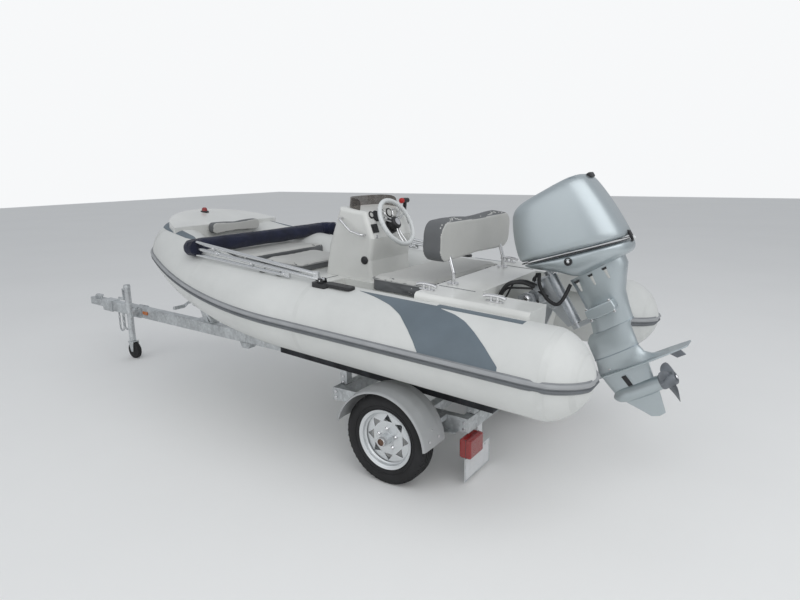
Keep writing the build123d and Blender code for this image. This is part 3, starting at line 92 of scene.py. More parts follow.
def floor_point(x, y, z):
    return Vector((x, y, z)) * MM


ACROSS = Vector((0, 1, 0))
UP = (boat(0, 0, 1) - boat(0, 0, 0)).normalized()
AHEAD = (boat(1, 0, 0) - boat(0, 0, 0)).normalized()
ASTERN = engine(-1, 0, 0) - engine(0, 0, 0)
KINGPIN_AXIS = engine(0, 0, 1) - engine(0, 0, 0)

# Camera, as worked out from the photograph
CAMERA_AT = Vector((-3.146, 3.186, 1.701))
CAMERA_YAW = math.radians(34.03)
CAMERA_PITCH = math.radians(12.49)
CAMERA_ROLL = math.radians(-0.915)
SENSOR = 36.0
CAMERA_LENS = 602.0 / 800.0 * SENSOR


def make_camera():
    forward = Vector((math.sin(CAMERA_YAW) * math.cos(CAMERA_PITCH),
                      -math.cos(CAMERA_YAW) * math.cos(CAMERA_PITCH), -math.sin(CAMERA_PITCH)))
    right = forward.cross(Vector((0, 0, 1))).normalized()
    up = right.cross(forward)
    c, s = math.cos(CAMERA_ROLL), math.sin(CAMERA_ROLL)
    right, up = right * c + up * s, up * c - right * s
    data = bpy.data.cameras.new("camera")
    data.lens = CAMERA_LENS
    data.sensor_width = SENSOR
    camera = bpy.data.objects.new("camera", data)
    SCENE.collection.objects.link(camera)
    camera.matrix_world = Matrix((*zip(right, up, -forward, CAMERA_AT), (0, 0, 0, 1)))
    SCENE.camera = camera


# Light: the sky's colours and where they meet, the backdrop, and lamps as name, place, size and watts
SKY_LOW = (0.34, 0.34, 0.34)
SKY_HIGH = (0.85, 0.88, 0.92)
SKY_ENDS = (0.42, 0.62)
SKY_STRENGTH = 0.62
BACKDROP = (0.93, 0.94, 0.95, 1)
LAMPS = (("key", (-6.0, 3.0, 6.0), 9.0, 310.0), ("fill", (1.0, 7.5, 3.5), 7.0, 90.0))
LAMPS_AIM = Vector((-0.8, 0, 0.7))


def add_node(tree, kind, links=None, values=None, operation=None):
    """A shader node whose sockets are linked to outputs or set to values."""
    node = tree.nodes.new("ShaderNode" + kind)
    if operation:
        node.operation = operation
    for socket, value in (values or {}).items():
        node.inputs[socket].default_value = value
    for socket, source in (links or {}).items():
        tree.links.new(source, node.inputs[socket])
    return node


def ramped(tree, source, low, high, start=0.35, end=0.65):
    ramp = add_node(tree, "ValToRGB", {"Fac": source})
    for element, position, colour in zip(ramp.color_ramp.elements, (start, end), (low, high)):
        element.position = position
        element.color = (*colour, 1)
    return ramp.outputs["Color"]


def make_light():
    """A sky that lights the model, with a plain backdrop for the camera, and two area lamps."""
    world = bpy.data.worlds.new("studio")
    SCENE.world = world
    world.use_nodes = True
    tree = world.node_tree
    tree.nodes.clear()
    path = add_node(tree, "LightPath").outputs
    seen = add_node(tree, "Math", {0: path["Is Camera Ray"], 1: path["Is Transmission Ray"]},
                    operation="MAXIMUM")
    split = add_node(tree, "SeparateXYZ", {0: add_node(tree, "TexCoord").outputs["Generated"]})
    height = add_node(tree, "Math", {0: split.outputs["Z"]}, {1: 0.5, 2: 0.5}, "MULTIPLY_ADD")
    colour = ramped(tree, height.outputs[0], SKY_LOW, SKY_HIGH, *SKY_ENDS)
    sky = add_node(tree, "Background", {"Color": colour}, {"Strength": SKY_STRENGTH})
    plain = add_node(tree, "Background", values={"Color": BACKDROP})
    mix = add_node(tree, "MixShader", {"Fac": seen.outputs[0], 1: sky.outputs[0], 2: plain.outputs[0]})
    add_node(tree, "OutputWorld", {"Surface": mix.outputs[0]})
    for name, at, size, watts in LAMPS:
        data = bpy.data.lights.new(name, "AREA")
        data.size = size
        data.energy = watts
        lamp = bpy.data.objects.new(name, data)
        SCENE.collection.objects.link(lamp)
        lamp.location = at
        lamp.rotation_mode = "QUATERNION"
        lamp.rotation_quaternion = (LAMPS_AIM - Vector(at)).to_track_quat("-Z", "Y")
    SCENE.view_settings.view_transform = "Standard"


# Materials
def shade(colour, by):
    return tuple(min(1.0, c * by) for c in colour)


class Paint:
    """A material in the making: textures run in the object's own coordinates, in cycles a metre."""

    def __init__(self, name, rough=0.5, metal=0.0, coat=0.0, coat_rough=0.1, spec=0.5):
        self.material = bpy.data.materials.new(name)
        self.material.use_nodes = True
        self.tree = self.material.node_tree
        self.inputs = self.tree.nodes["Principled BSDF"].inputs
        for socket, value in (("Roughness", rough), ("Metallic", metal), ("Coat Weight", coat),
                              ("Coat Roughness", coat_rough), ("Specular IOR Level", spec)):
            self.inputs[socket].default_value = value

    def texture(self, kind, scale, **values):
        place = add_node(self.tree, "TexCoord").outputs["Object"]
        sockets = {key.title(): value for key, value in values.items()}
        return add_node(self.tree, "Tex" + kind, {"Vector": place}, {"Scale": scale, **sockets})

    def colour(self, source, low, high, start=0.35, end=0.65):
        self.tree.links.new(ramped(self.tree, source, low, high, start, end), self.inputs["Base Color"])

    def tone(self, source, colour, spread):
        """Lets the colour drift by a share of itself."""
        self.colour(source, shade(colour, 1 - spread), shade(colour, 1 + spread))

    def roughness(self, source, low, high):
        spread = add_node(self.tree, "MapRange", {"Value": source}, {"To Min": low, "To Max": high})
        self.tree.links.new(spread.outputs["Result"], self.inputs["Roughness"])

    def bump(self, height, distance, strength=1.0, under=None):
        links = {"Height": height, **({"Normal": under} if under is not None else {})}
        bump = add_node(self.tree, "Bump", links, {"Distance": distance, "Strength": strength})
        self.tree.links.new(bump.outputs["Normal"], self.inputs["Normal"])
        return bump.outputs["Normal"]


def mottled(name, colour, spread, scale, grain, depth, rough, metal=0.0):
    """A surface whose colour drifts softly, with a fine grain in its bump and gloss."""
    paint = Paint(name, metal=metal)
    cloud = paint.texture("Noise", scale, detail=6.0, roughness=0.6).outputs["Fac"]
    paint.tone(cloud, colour, spread)
    paint.roughness(cloud, *rough)
    paint.bump(paint.texture("Noise", grain, detail=2.0).outputs["Fac"], depth)
    return paint.material


def woven(name, colour, threads, depth, rough, spread, sheen=0.0):
    """Cloth: two crossing sets of threads, with colour that drifts."""
    paint = Paint(name, rough=rough, spec=0.3)
    paint.inputs["Sheen Weight"].default_value = sheen
    paint.tone(paint.texture("Noise", 9.0, detail=5.0).outputs["Fac"], colour, spread)
    threads_both = {}
    for socket, direction in enumerate(("X", "Z")):
        wave = paint.texture("Wave", threads, distortion=0.4)
        wave.bands_direction = direction
        threads_both[socket] = wave.outputs["Fac"]
    paint.bump(add_node(paint.tree, "Math", threads_both, operation="MAXIMUM").outputs[0], depth)
    return paint.material


def leathered(name, colour, spread=0.05):
    """Marine vinyl with a pressed leather grain."""
    paint = Paint(name, spec=0.45)
    cloud = paint.texture("Noise", 4.0, detail=5.0).outputs["Fac"]
    paint.tone(cloud, colour, spread)
    paint.roughness(cloud, 0.42, 0.58)
    grain = paint.bump(paint.texture("Voronoi", 420.0).outputs["Distance"], 0.0003, 0.8)
    paint.bump(paint.texture("Noise", 60.0, detail=4.0).outputs["Fac"], 0.0008, 0.5, under=grain)
    return paint.material


def galvanised(name):
    """Hot-dip zinc: crystal flakes of differing brightness, dull streaks."""
    paint = Paint(name, metal=0.75)
    flakes = paint.texture("Voronoi", 55.0).outputs["Color"]
    drift = paint.texture("Noise", 7.0, detail=6.0).outputs["Fac"]
    both = add_node(paint.tree, "Math", {0: flakes, 2: drift}, {1: 0.35}, "MULTIPLY_ADD").outputs[0]
    paint.colour(both, (0.34, 0.355, 0.365), (0.70, 0.725, 0.735), 0.3, 0.95)
    paint.roughness(both, 0.32, 0.62)
    paint.bump(drift, 0.0006, 0.6)
    return paint.material


def metallic_paint(name, colour):
    """Silver paint under clear coat, with fine flakes and a slow drift of tone."""
    paint = Paint(name, metal=0.8, rough=0.36, coat=0.4, coat_rough=0.15)
    flakes = paint.texture("Voronoi", 2600.0).outputs["Distance"]
    paint.colour(flakes, shade(colour, 0.88), shade(colour, 1.12), 0, 0.7)
    drift = paint.texture("Noise", 5.0, detail=3.0).outputs["Fac"]
    paint.roughness(drift, 0.34, 0.46)
    paint.bump(drift, 0.0004, 0.3)
    return paint.material


def brushed(name, colour, rough=0.16):
    """Polished or drawn metal with fine lines round the bar."""
    paint = Paint(name, metal=1.0, rough=rough)
    place = add_node(paint.tree, "TexCoord").outputs["Object"]
    stretch = add_node(paint.tree, "Mapping", {"Vector": place}, {"Scale": (4.0, 4.0, 600.0)})
    noisy = add_node(paint.tree, "TexNoise", {"Vector": stretch.outputs["Vector"]}, {"Scale": 20.0})
    lines = noisy.outputs["Fac"]
    paint.colour(lines, shade(colour, 0.94), colour)
    paint.roughness(lines, rough * 0.85, rough * 1.2)
    paint.bump(lines, 0.00005, 0.1)
    return paint.material


def gelcoated(name, colour, grip=False):
    """Glossy moulded gelcoat; the treads have a pressed diamond grip."""
    paint = Paint(name, rough=0.3, coat=0.0 if grip else 0.5, coat_rough=0.12)
    cloud = paint.texture("Noise", 2.5, detail=7.0).outputs["Fac"]
    paint.colour(cloud, shade(colour, 0.90), shade(colour, 1.04))
    paint.roughness(cloud, 0.28, 0.5 if grip else 0.4)
    if grip:
        paint.bump(paint.texture("Voronoi", 210.0, randomness=0.15).outputs["Distance"], 0.0012, 0.7)
    else:
        paint.bump(paint.texture("Noise", 120.0, detail=2.0).outputs["Fac"], 0.0001, 0.4)
    return paint.material


def smoked_screen(name):
    paint = Paint(name, rough=0.06, coat=0.6)
    paint.inputs["Transmission Weight"].default_value = 0.9
    paint.inputs["IOR"].default_value = 1.3
    haze = paint.texture("Noise", 40.0, detail=3.0).outputs["Fac"]
    paint.colour(haze, (0.20, 0.185, 0.17), (0.28, 0.26, 0.24))
    return paint.material


def lens(name, colour):
    """Ribbed lamp glass."""
    paint = Paint(name, rough=0.18, coat=0.9)
    ribs = paint.texture("Wave", 45.0)
    ribs.bands_direction = "Z"
    paint.colour(ribs.outputs["Fac"], shade(colour, 0.5), colour)
    paint.bump(ribs.outputs["Fac"], 0.001, 0.8)
    return paint.material


# Mottled surfaces: colour, spread of its tone, cycles of the drift and of the grain, depth, roughness
TUBE_WHITE = mottled("tube_fabric", (0.64, 0.65, 0.635), 0.05, 2.2, 1500.0, 0.00012, (0.38, 0.55))
TUBE_GREY = mottled("tube_grey", (0.125, 0.158, 0.185), 0.08, 4.0, 1500.0, 0.00012, (0.4, 0.6))
SEAM = mottled("seam_tape", (0.615, 0.625, 0.61), 0.05, 6.0, 1200.0, 0.0001, (0.45, 0.6))
RAIL_GREY = mottled("rail_grey", (0.215, 0.225, 0.235), 0.12, 8.0, 500.0, 0.0002, (0.45, 0.65))
# A lit copy of the rail's grey: painted highlight for the rail's upper ridge
RAIL_HIGHLIGHT = mottled("rail_highlight", (0.33, 0.34, 0.35), 0.08, 9.0, 500.0, 0.0002, (0.4, 0.55))
# A shaded copy of the rail's grey: painted shade for the rail's lower ridge and for the deck's gaps
RAIL_SHADE = mottled("rail_shade", (0.125, 0.135, 0.145), 0.12, 8.0, 500.0, 0.0002, (0.45, 0.65))
PROP_METAL = mottled("prop_metal", (0.20, 0.215, 0.235), 0.15, 20.0, 500.0, 0.0002, (0.35, 0.5), 0.5)
BLACK_PLASTIC = mottled("black_plastic", (0.018, 0.018, 0.02), 0.2, 12.0, 1200.0, 0.00015, (0.35, 0.55))
HOSE_RUBBER = mottled("hose_rubber", (0.014, 0.014, 0.015), 0.25, 15.0, 900.0, 0.0002, (0.5, 0.7))
TYRE_RUBBER = mottled("tyre_rubber", (0.011, 0.011, 0.012), 0.45, 10.0, 700.0, 0.0003, (0.65, 0.85))
FENDER_GREY = mottled("fender_plastic", (0.40, 0.41, 0.415), 0.06, 6.0, 900.0, 0.0002, (0.4, 0.55))
HELM_WHITE = mottled("helm_white", (0.68, 0.70, 0.70), 0.03, 8.0, 900.0, 0.0001, (0.25, 0.4))
PLATE_WHITE = mottled("plate_white", (0.68, 0.69, 0.70), 0.04, 20.0, 900.0, 0.0001, (0.3, 0.45))
DIAL_FACE = mottled("dial_face", (0.55, 0.55, 0.53), 0.03, 30.0, 900.0, 0.00005, (0.2, 0.3))
RED_GRIP = mottled("red_grip", (0.45, 0.02, 0.02), 0.1, 20.0, 900.0, 0.0001, (0.3, 0.4))
HUB_GREASE = mottled("hub_grease", (0.16, 0.085, 0.05), 0.3, 60.0, 900.0, 0.0004, (0.4, 0.7))
GELCOAT = gelcoated("gelcoat", (0.72, 0.725, 0.70))
DECK_GRIP = gelcoated("deck_grip", (0.66, 0.67, 0.65), grip=True)
SILVER = metallic_paint("silver_paint", (0.45, 0.50, 0.52))
# A shaded copy of the silver paint: painted shade for the crease line along the crown and for the seams
# round the leg
SILVER_SHADE = metallic_paint("silver_shadow", (0.30, 0.35, 0.39))
BRACKET_METAL = metallic_paint("bracket_metal", (0.46, 0.48, 0.50))
RIM_ZINC = metallic_paint("rim_zinc", (0.66, 0.68, 0.69))
GALVANISED = galvanised("galvanised_steel")
STAINLESS = brushed("stainless", (0.72, 0.72, 0.73))
ALLOY = brushed("alloy_tube", (0.74, 0.75, 0.76))
CARPET = woven("bunk_carpet", (0.05, 0.052, 0.058), 260.0, 0.0012, 0.95, 0.35)
BOOT_NAVY = woven("boot_canvas", (0.0075, 0.0105, 0.030), 900.0, 0.0003, 0.85, 0.3, 0.15)
STRAP_WEB = woven("winch_strap", (0.35, 0.12, 0.03), 500.0, 0.0005, 0.8, 0.2)
VINYL_LIGHT = leathered("vinyl_light", (0.50, 0.50, 0.48))
VINYL_GREY = leathered("vinyl_grey", (0.115, 0.12, 0.125), 0.1)
VINYL_PIPING = leathered("vinyl_piping", (0.30, 0.305, 0.30), 0.08)
SCREEN = smoked_screen("smoked_screen")
RED_LENS = lens("red_lens", (0.36, 0.006, 0.006))
AMBER_LENS = lens("amber_lens", (0.62, 0.16, 0.01))

# Materials of the CAD nodes that stay in view or that a piece below stands for
NODE_MATERIALS = (
    (GALVANISED, "tongue frame axle winch_stand coupler safety_chains jack_clamp jack_post jack_fork"),
    (RIM_ZINC, "rim_port rim_starboard"),
    (TYRE_RUBBER, "tyre_port tyre_starboard jack_wheel"),
    (FENDER_GREY, "fender_port fender_starboard"),
    (CARPET, "bunk_port bunk_starboard"),
    (PLATE_WHITE, "plate_panel"),
    (RED_LENS, "tail_lamps"),
    (GELCOAT, "hull transom aft_deck bench_lid fore_deck fore_lid bow_cap console"),
    (TUBE_WHITE, "tube_port tube_starboard tube_bow"),
    (RAIL_GREY, "rub_rail"),
    (DECK_GRIP, "cockpit_sole"),
    (SCREEN, "windscreen"),
    (VINYL_LIGHT, "aft_cushion backrest fore_cushion bow_cushion"),
    (VINYL_GREY, "bow_backrest"),
    (STAINLESS, "backrest_posts console_rail cleats"),
    (BLACK_PLASTIC, "helm_bezel control_box bimini_hinges"),
    (HELM_WHITE, "helm_wheel"),
    (ALLOY, "bimini_frame"),
    (BOOT_NAVY, "bimini_boot"),
    (BRACKET_METAL, "clamp_bracket swivel_bracket"),
    (SILVER, "cowl lower_cowl engine_leg"),
    (PROP_METAL, "propeller"),
)


def dress_nodes():
    for material, names in NODE_MATERIALS:
        for name in names.split():
            slots = NODES[name].data.materials
            slots.clear()
            slots.append(material)


# Mesh tools
def piece(name, verts, faces, material, body=BOAT_BODY, smooth=True, sharp=35.0, bevel=0.0, levels=0):
    """A mesh from points in metres, its faces turned outward; it rides on its body unless that is None."""
    mesh = bpy.data.meshes.new(name)
    mesh.from_pydata([tuple(v) for v in verts], [], faces)
    work = bmesh.new()
    work.from_mesh(mesh)
    bmesh.ops.remove_doubles(work, verts=work.verts, dist=1e-6)
    bmesh.ops.recalc_face_normals(work, faces=work.faces)
    work.to_mesh(mesh)
    work.free()
    obj = bpy.data.objects.new(name, mesh)
    SCENE.collection.objects.link(obj)
    for item in material if isinstance(material, list) else [material]:
        mesh.materials.append(item)
    for face in mesh.polygons:
        face.use_smooth = smooth
    if smooth:
        mesh.set_sharp_from_angle(angle=math.radians(sharp))
    if bevel:
        edge = obj.modifiers.new("bevel", "BEVEL")
        edge.width = bevel * MM
        edge.segments = 3
        edge.limit_method = "ANGLE"
        edge.angle_limit = math.radians(30)
        edge.harden_normals = True
    if levels:
        finer = obj.modifiers.new("subdivision", "SUBSURF")
        finer.levels = levels
        finer.render_levels = levels
    if body:
        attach(obj, body)
    return obj


def loft(name, rings, material, body=BOAT_BODY, closed=True, caps=True, **more):
    """Joins rings of the same count of points, each closed or open, with or without end faces."""
    around = len(rings[0])
    last = (len(rings) - 1) * around
    faces = []
    for row in range(0, last, around):
        for j in range(around if closed else around - 1):
            k = (j + 1) % around
            faces.append((row + j, row + k, row + around + k, row + around + j))
    if caps:
        faces.append(tuple(range(around)))
        faces.append(tuple(last + j for j in range(around)))
    return piece(name, [v for ring in rings for v in ring], faces, material, body, **more)


def prism(name, outline, near, far, place, material, body=BOAT_BODY, **more):
    """An outline of (a, b) points carried from near to far; place takes (a, b, depth)."""
    rings = [[place(a, b, depth) for a, b in outline] for depth in (near, far)]
    return loft(name, rings, material, body, **more)


def block(name, outline, near, far, place, material, body=BOAT_BODY, bevel=1.5):
    """A prism with flat faces and rounded edges."""
    return prism(name, outline, near, far, place, material, body, smooth=False, bevel=bevel)


def box(name, low, high, place, material, body=BOAT_BODY, bevel=1.5):
    outline = ((low[0], low[1]), (high[0], low[1]), (high[0], high[1]), (low[0], high[1]))
    return block(name, outline, low[2], high[2], place, material, body, bevel)


def spline(points, steps):
    """Catmull-Rom curve through the points, ends included."""
    pts = [points[0] * 2 - points[1], *points, points[-1] * 2 - points[-2]]
    out = []
    for i in range(1, len(pts) - 2):
        a, b, c, d = pts[i - 1:i + 3]
        for k in range(steps):
            t = k / steps
            out.append(0.5 * ((b * 2) + (c - a) * t + (a * 2 - b * 5 + c * 4 - d) * t * t
                              + (b * 3 - a - c * 3 + d) * t ** 3))
    out.append(points[-1])
    return out


def turns(count):
    """Angles spaced evenly round a circle."""
    return [2 * math.pi * k / count for k in range(count)]


def circle(at, u, v, radius, around):
    """Points round a place, in the plane of two unit vectors, radius in millimetres."""
    return [at + (u * math.cos(a) + v * math.sin(a)) * (radius * MM) for a in turns(around)]


def heading_at(path, i):
    """Direction of a path at its point i, from the points beside it."""
    return path[min(i + 1, len(path) - 1)] - path[max(i - 1, 0)]


def bar(name, points, radius, material, body=BOAT_BODY, around=16, steps=8, smooth_path=True):
    """A round bar along points in metres, radius in millimetres."""
    path = spline(points, steps) if smooth_path and len(points) > 2 else list(points)
    normal = None
    rings = []
    for i, at in enumerate(path):
        ahead = heading_at(path, i).normalized()
        if normal is None:
            normal = ahead.orthogonal().normalized()
        normal = (normal - ahead * normal.dot(ahead)).normalized()
        side = ahead.cross(normal)
        rings.append(circle(at, normal, side, radius, around))
    return loft(name, rings, material, body)


def turned(name, profile, centre, axis, material, body=BOAT_BODY, around=48, caps=True, **more):
    """A lathe piece: profile is (distance along the axis, radius), in millimetres."""
    axis = axis.normalized()
    u = axis.orthogonal().normalized()
    v = axis.cross(u)
    rings = []
    for d, r in profile:
        rings.append(circle(centre + axis * (d * MM), u, v, r, around))
    return loft(name, rings, material, body, caps=caps, **more)


def bolt(name, at, axis, size, body=BOAT_BODY):
    """A hexagon head."""
    profile = ((-2, size), (size * 0.7, size), (size * 0.8, size * 0.8), (size * 0.8, 0.5))
    turned(name, profile, at, axis, STAINLESS, body, 6, smooth=False)


def along(table, at):
    """Value at a place in a table of (place, value) rows that climb."""
    for (a, u), (b, v) in zip(table, table[1:]):
        if at <= b:
            t = max(0.0, (at - a) / (b - a))
            return u + (v - u) * t
    return table[-1][1]


def rounded_rect(x0, x1, y0, y1, r, steps=6):
    out = []
    corners = ((x1 - r, y1 - r), (x0 + r, y1 - r), (x0 + r, y0 + r), (x1 - r, y0 + r))
    for quarter, (cx, cy) in enumerate(corners):
        for k in range(steps + 1):
            a = math.radians(90 * quarter + 90 * k / steps)
            out.append((cx + r * math.cos(a), cy + r * math.sin(a)))
    return out


def dense(outline, gap=40):
    """The outline with points added so that none lie further apart than gap."""
    out = []
    for (ax, ay), (bx, by) in zip(outline, outline[1:] + outline[:1]):
        n = max(1, math.ceil(math.hypot(bx - ax, by - ay) / gap))
        out += [(ax + (bx - ax) * k / n, ay + (by - ay) * k / n) for k in range(n)]
    return out


# The tubes' centre line: a straight run, the shoulder arc that leans in and up, and the nose arc
TUBE_Y = 655.0
TUBE_R = 218.0
BOW_TUBE_R = 204.0
STRAIGHT = 1679.0
SHOULDER_R = 3325.0
SHOULDER_TURN = math.radians(24.56)
SHOULDER_ROLL = math.radians(27.24)
CONE_TIP = -90.0
CONE_LENGTH = 200.0
CONE_END = CONE_TIP + CONE_LENGTH
LEAN = Vector((0, -math.cos(SHOULDER_ROLL), math.sin(SHOULDER_ROLL)))
FORWARD = Vector((1, 0, 0))
INWARD = Vector((0, -1, 0))


def arc_at(start, heading, side, radius, angle):
    """Place and heading at an angle round an arc that leaves start along heading and turns to side."""
    at = start + heading * (radius * math.sin(angle)) + side * (radius * (1 - math.cos(angle)))
    return at, heading * math.cos(angle) + side * math.sin(angle)


SHOULDER_START = Vector((STRAIGHT, TUBE_Y, 0))
SHOULDER_END, HEADING = arc_at(SHOULDER_START, FORWARD, LEAN, SHOULDER_R, SHOULDER_TURN)
NOSE_TURN = math.acos(HEADING.dot(INWARD))
NOSE_R = SHOULDER_END.y / math.sin(NOSE_TURN)
NOSE_SIDE = (INWARD - HEADING * math.cos(NOSE_TURN)) / math.sin(NOSE_TURN)
SHOULDER_LENGTH = SHOULDER_R * SHOULDER_TURN
NOSE_S = STRAIGHT + SHOULDER_LENGTH
BOW_S = NOSE_S + NOSE_R * NOSE_TURN


def cone_radius(x):
    d = min(max((CONE_END - x) / CONE_LENGTH, 0.0), 1.0)
    return TUBE_R * (1 - d ** 1.7) ** 0.55


def tube_at(s):
    """Centre, heading and radius of the port tube at length s from the stern datum, boat millimetres."""
    if s <= STRAIGHT:
        return Vector((s, TUBE_Y, 0)), FORWARD.copy(), cone_radius(s)
    if s <= NOSE_S:
        a = (s - STRAIGHT) / SHOULDER_R
        radius = TUBE_R + (BOW_TUBE_R - TUBE_R) * a / SHOULDER_TURN
        return *arc_at(SHOULDER_START, FORWARD, LEAN, SHOULDER_R, a), radius
    return *arc_at(SHOULDER_END, HEADING, NOSE_SIDE, NOSE_R, (s - NOSE_S) / NOSE_R), BOW_TUBE_R


def tube_point(s, angle, lift=0.0, side=1):
    """Point on the tube: angle 0 faces outboard, 90 up, in degrees."""
    at, heading, radius = tube_at(s)
    out = Vector((0, 0, 1)).cross(heading).normalized()
    up = heading.cross(out)
    a = math.radians(angle)
    p = at + (out * math.cos(a) + up * math.sin(a)) * (radius + lift)
    return boat(p.x, side * p.y, p.z)


def make_tube(side, word):
    around = 96
    stations = [CONE_TIP + CONE_LENGTH * (1 - math.cos(math.pi * k / 36)) for k in range(1, 19)]
    stations += [CONE_END + (STRAIGHT - CONE_END) * k / 10 for k in range(1, 11)]
    stations += [STRAIGHT + (BOW_S - STRAIGHT) * k / 44 for k in range(1, 45)]
    rings = [[tube_point(s, 360 * k / around, 0, side) for k in range(around)] for s in stations]
    skin = loft("tube_skin_" + word, rings, TUBE_WHITE)
    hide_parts("tube_" + word, *(["tube_bow"] if side > 0 else []))


def tube_patch(name, columns, side, word, material, lift=1.6, thick=1.4):
    """Fabric glued on the tube: columns of (s, angle) points from one edge to the other."""
    rows = len(columns[0])
    spans = len(columns) - 1
    under = len(columns) * rows
    verts = [tube_point(s, a, up, side) for up in (lift, lift - thick) for column in columns for s,
             a in column]
    faces = []
    for i in range(spans):
        for j in range(rows - 1):
            a, b, c, d = i * rows + j, i * rows + j + 1, (i + 1) * rows + j + 1, (i + 1) * rows + j
            faces.append((a, b, c, d))
            faces.append((a + under, d + under, c + under, b + under))
    border = [(i * rows + j, (i + 1) * rows + j) for j in (0, rows - 1) for i in range(spans)]
    border += [(i * rows + j, i * rows + j + 1) for i in (0, spans) for j in range(rows - 1)]
    faces += [(a, b, b + under, a + under) for a, b in border]
    patch = piece(name + "_" + word, verts, faces, material, sharp=60)


# Edges of the grey side panel: angle above the rail against tube length
PANEL_FRONT = ((8, 695), (20, 727), (33, 773), (51, 851), (64, 941), (75, 1063), (84, 1188))
PANEL_REAR = ((14, 284), (33, 361), (48, 432), (62, 508), (71, 580), (77, 663), (84, 700))
PANEL_LOW = 7
PANEL_HIGH = 84
BAND_START = STRAIGHT + SHOULDER_LENGTH * 0.81
BAND_WIDTH = 17

# Taped seams round the tubes: where they start and their width
SEAMS = ((64, 34), (-46, 22), (1480, 30), (2460, 30), (3180, 30))


def make_panels(side, word):
    """The grey side panel, the strip along the side deck's edge and the bow band beside the cap."""
    columns = []
    for i in range(37):
        angle = PANEL_LOW + (PANEL_HIGH - PANEL_LOW) * i / 36
        front = along(PANEL_FRONT, angle)
        rear = along(PANEL_REAR, angle)
        columns.append([(rear + (front - rear) * j / 24, angle) for j in range(25)])
    tube_patch("side_panel", columns, side, word, TUBE_GREY)
    edge = [[(s, a) for a in (80, 84, 88, 92)] for s in range(250, 720, 20)]
    tube_patch("deck_strip", edge, side, word, TUBE_GREY, lift=1.4)
    band = []
    for i in range(41):
        t = i / 40
        s = BAND_START + (BOW_S - BAND_START) * t
        angle = 88 - 26 * min(1.0, t / 0.55) ** 1.2
        width = BAND_WIDTH * min(1.0, t / 0.10) ** 0.5
        band.append([(s, angle + width * (j / 6 - 0.5)) for j in range(7)])
    tube_patch("bow_band", band, side, word, TUBE_GREY)


def make_seams(side, word):
    """Taped seams round the tubes, and the lengthwise one below the rail."""
    for number, (s, width) in enumerate(SEAMS):
        ring = [[(s + width * j / 2, a) for j in range(3)] for a in range(-90, 271, 6)]
        tube_patch(f"seam_{number}", ring, side, word, SEAM, lift=0.7, thick=0.6)
    line = [[(s, a) for a in (-62, -59, -56)] for s in range(20, 3400, 40)]
    tube_patch("seam_low", line, side, word, SEAM, lift=0.6, thick=0.5)


# Rub rail: height above and stand-off from the tube, in millimetres, and the tone of each face: the upper
# ridge takes a painted highlight, the lower ridge a painted shade
RAIL_PROFILE = ((27, -2), (26, 4), (20, 6), (17, 13), (11, 17), (4, 15), (1, 8), (-4, 7), (-7, 12),
                (-13, 15), (-18, 12), (-21, 6), (-26, 4), (-27, -2))
RAIL_LIGHTING = (0, 0, 1, 1, 1, 0, 0, 2, 2, 2, 2, 0, 0)

# It turns round the stern cone on an ellipse about this length
RAIL_TURN_S = CONE_TIP + 150
RAIL_TURN_R = 140


def rail_place(side, facing, s, height, stand):
    """Point of the rail: facing is 1 on the tube's outboard side and -1 on its inboard side."""
    at, heading, radius = tube_at(s)
    out = Vector((0, 0, 1)).cross(heading).normalized() * facing
    up = Vector((0, 0, 1))
    up = (up - heading * up.dot(heading)).normalized()
    slope = 0.0
    if s < CONE_END:
        slope = (cone_radius(s + 1) - cone_radius(max(s - 1, CONE_TIP + 0.4))) / 2.0
    normal = (out - heading * slope).normalized()
    tilt = 2.3 - 6.8 * max(0.0, s) / BOW_S
    z = height + math.radians(tilt) * radius
    reach = math.sqrt(max(radius * radius - z * z, 0.0))
    p = at + out * reach + up * z + normal * stand
    return boat(p.x, side * p.y, p.z)


def make_rail(side, word):
    quarter = [math.pi / 2 * k / 12 for k in range(13)]
    places = [(-1, RAIL_TURN_S - RAIL_TURN_R * math.sin(a)) for a in quarter[:-1]]
    places += [(1, RAIL_TURN_S - RAIL_TURN_R * math.cos(a)) for a in quarter]
    places += [(1, RAIL_TURN_S + (STRAIGHT - RAIL_TURN_S) * k / 16) for k in range(1, 17)]
    places += [(1, STRAIGHT + (BOW_S - STRAIGHT) * k / 60) for k in range(1, 61)]
    rings = [[rail_place(side, facing, s, h, t) for h, t in RAIL_PROFILE] for facing, s in places]
    rail = loft("rail_" + word, rings, [RAIL_GREY, RAIL_HIGHLIGHT, RAIL_SHADE], closed=False, caps=False,
                sharp=50)
    # Upper ridge faces get the painted highlight, lower ridge faces the painted shade
    for index, face in enumerate(rail.data.polygons):
        face.material_index = RAIL_LIGHTING[index % len(RAIL_LIGHTING)]
    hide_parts("rub_rail")


# Outboard cowl: the slanted parting line, and rings between it and the crown
PART_FRONT = (-44.0, 188.0)
PART_AFT = (-610.0, 48.0)
COWL_CORNER = 0.12


def part_line(x):
    slope = (PART_FRONT[1] - PART_AFT[1]) / (PART_FRONT[0] - PART_AFT[0])
    return PART_AFT[1] + (x - PART_AFT[0]) * slope


def rounded_plan(front, aft, half, corner, count=72, power=3.4):
    """A plan outline with full corners, as (x, y) points."""
    mid, reach = (front + aft) / 2, (front - aft) / 2
    out = []
    for a in turns(count):
        c, s = math.cos(a), math.sin(a)
        x = mid + reach * math.copysign(abs(c) ** (2 / power), c)
        y = half * math.copysign(abs(s) ** (2 / power), s)
        off = (x - mid) / reach
        taper = 1 - corner * max(0.0, off) ** 2 - corner * 0.5 * max(0.0, -off) ** 2
        out.append((x, y * taper))
    return out


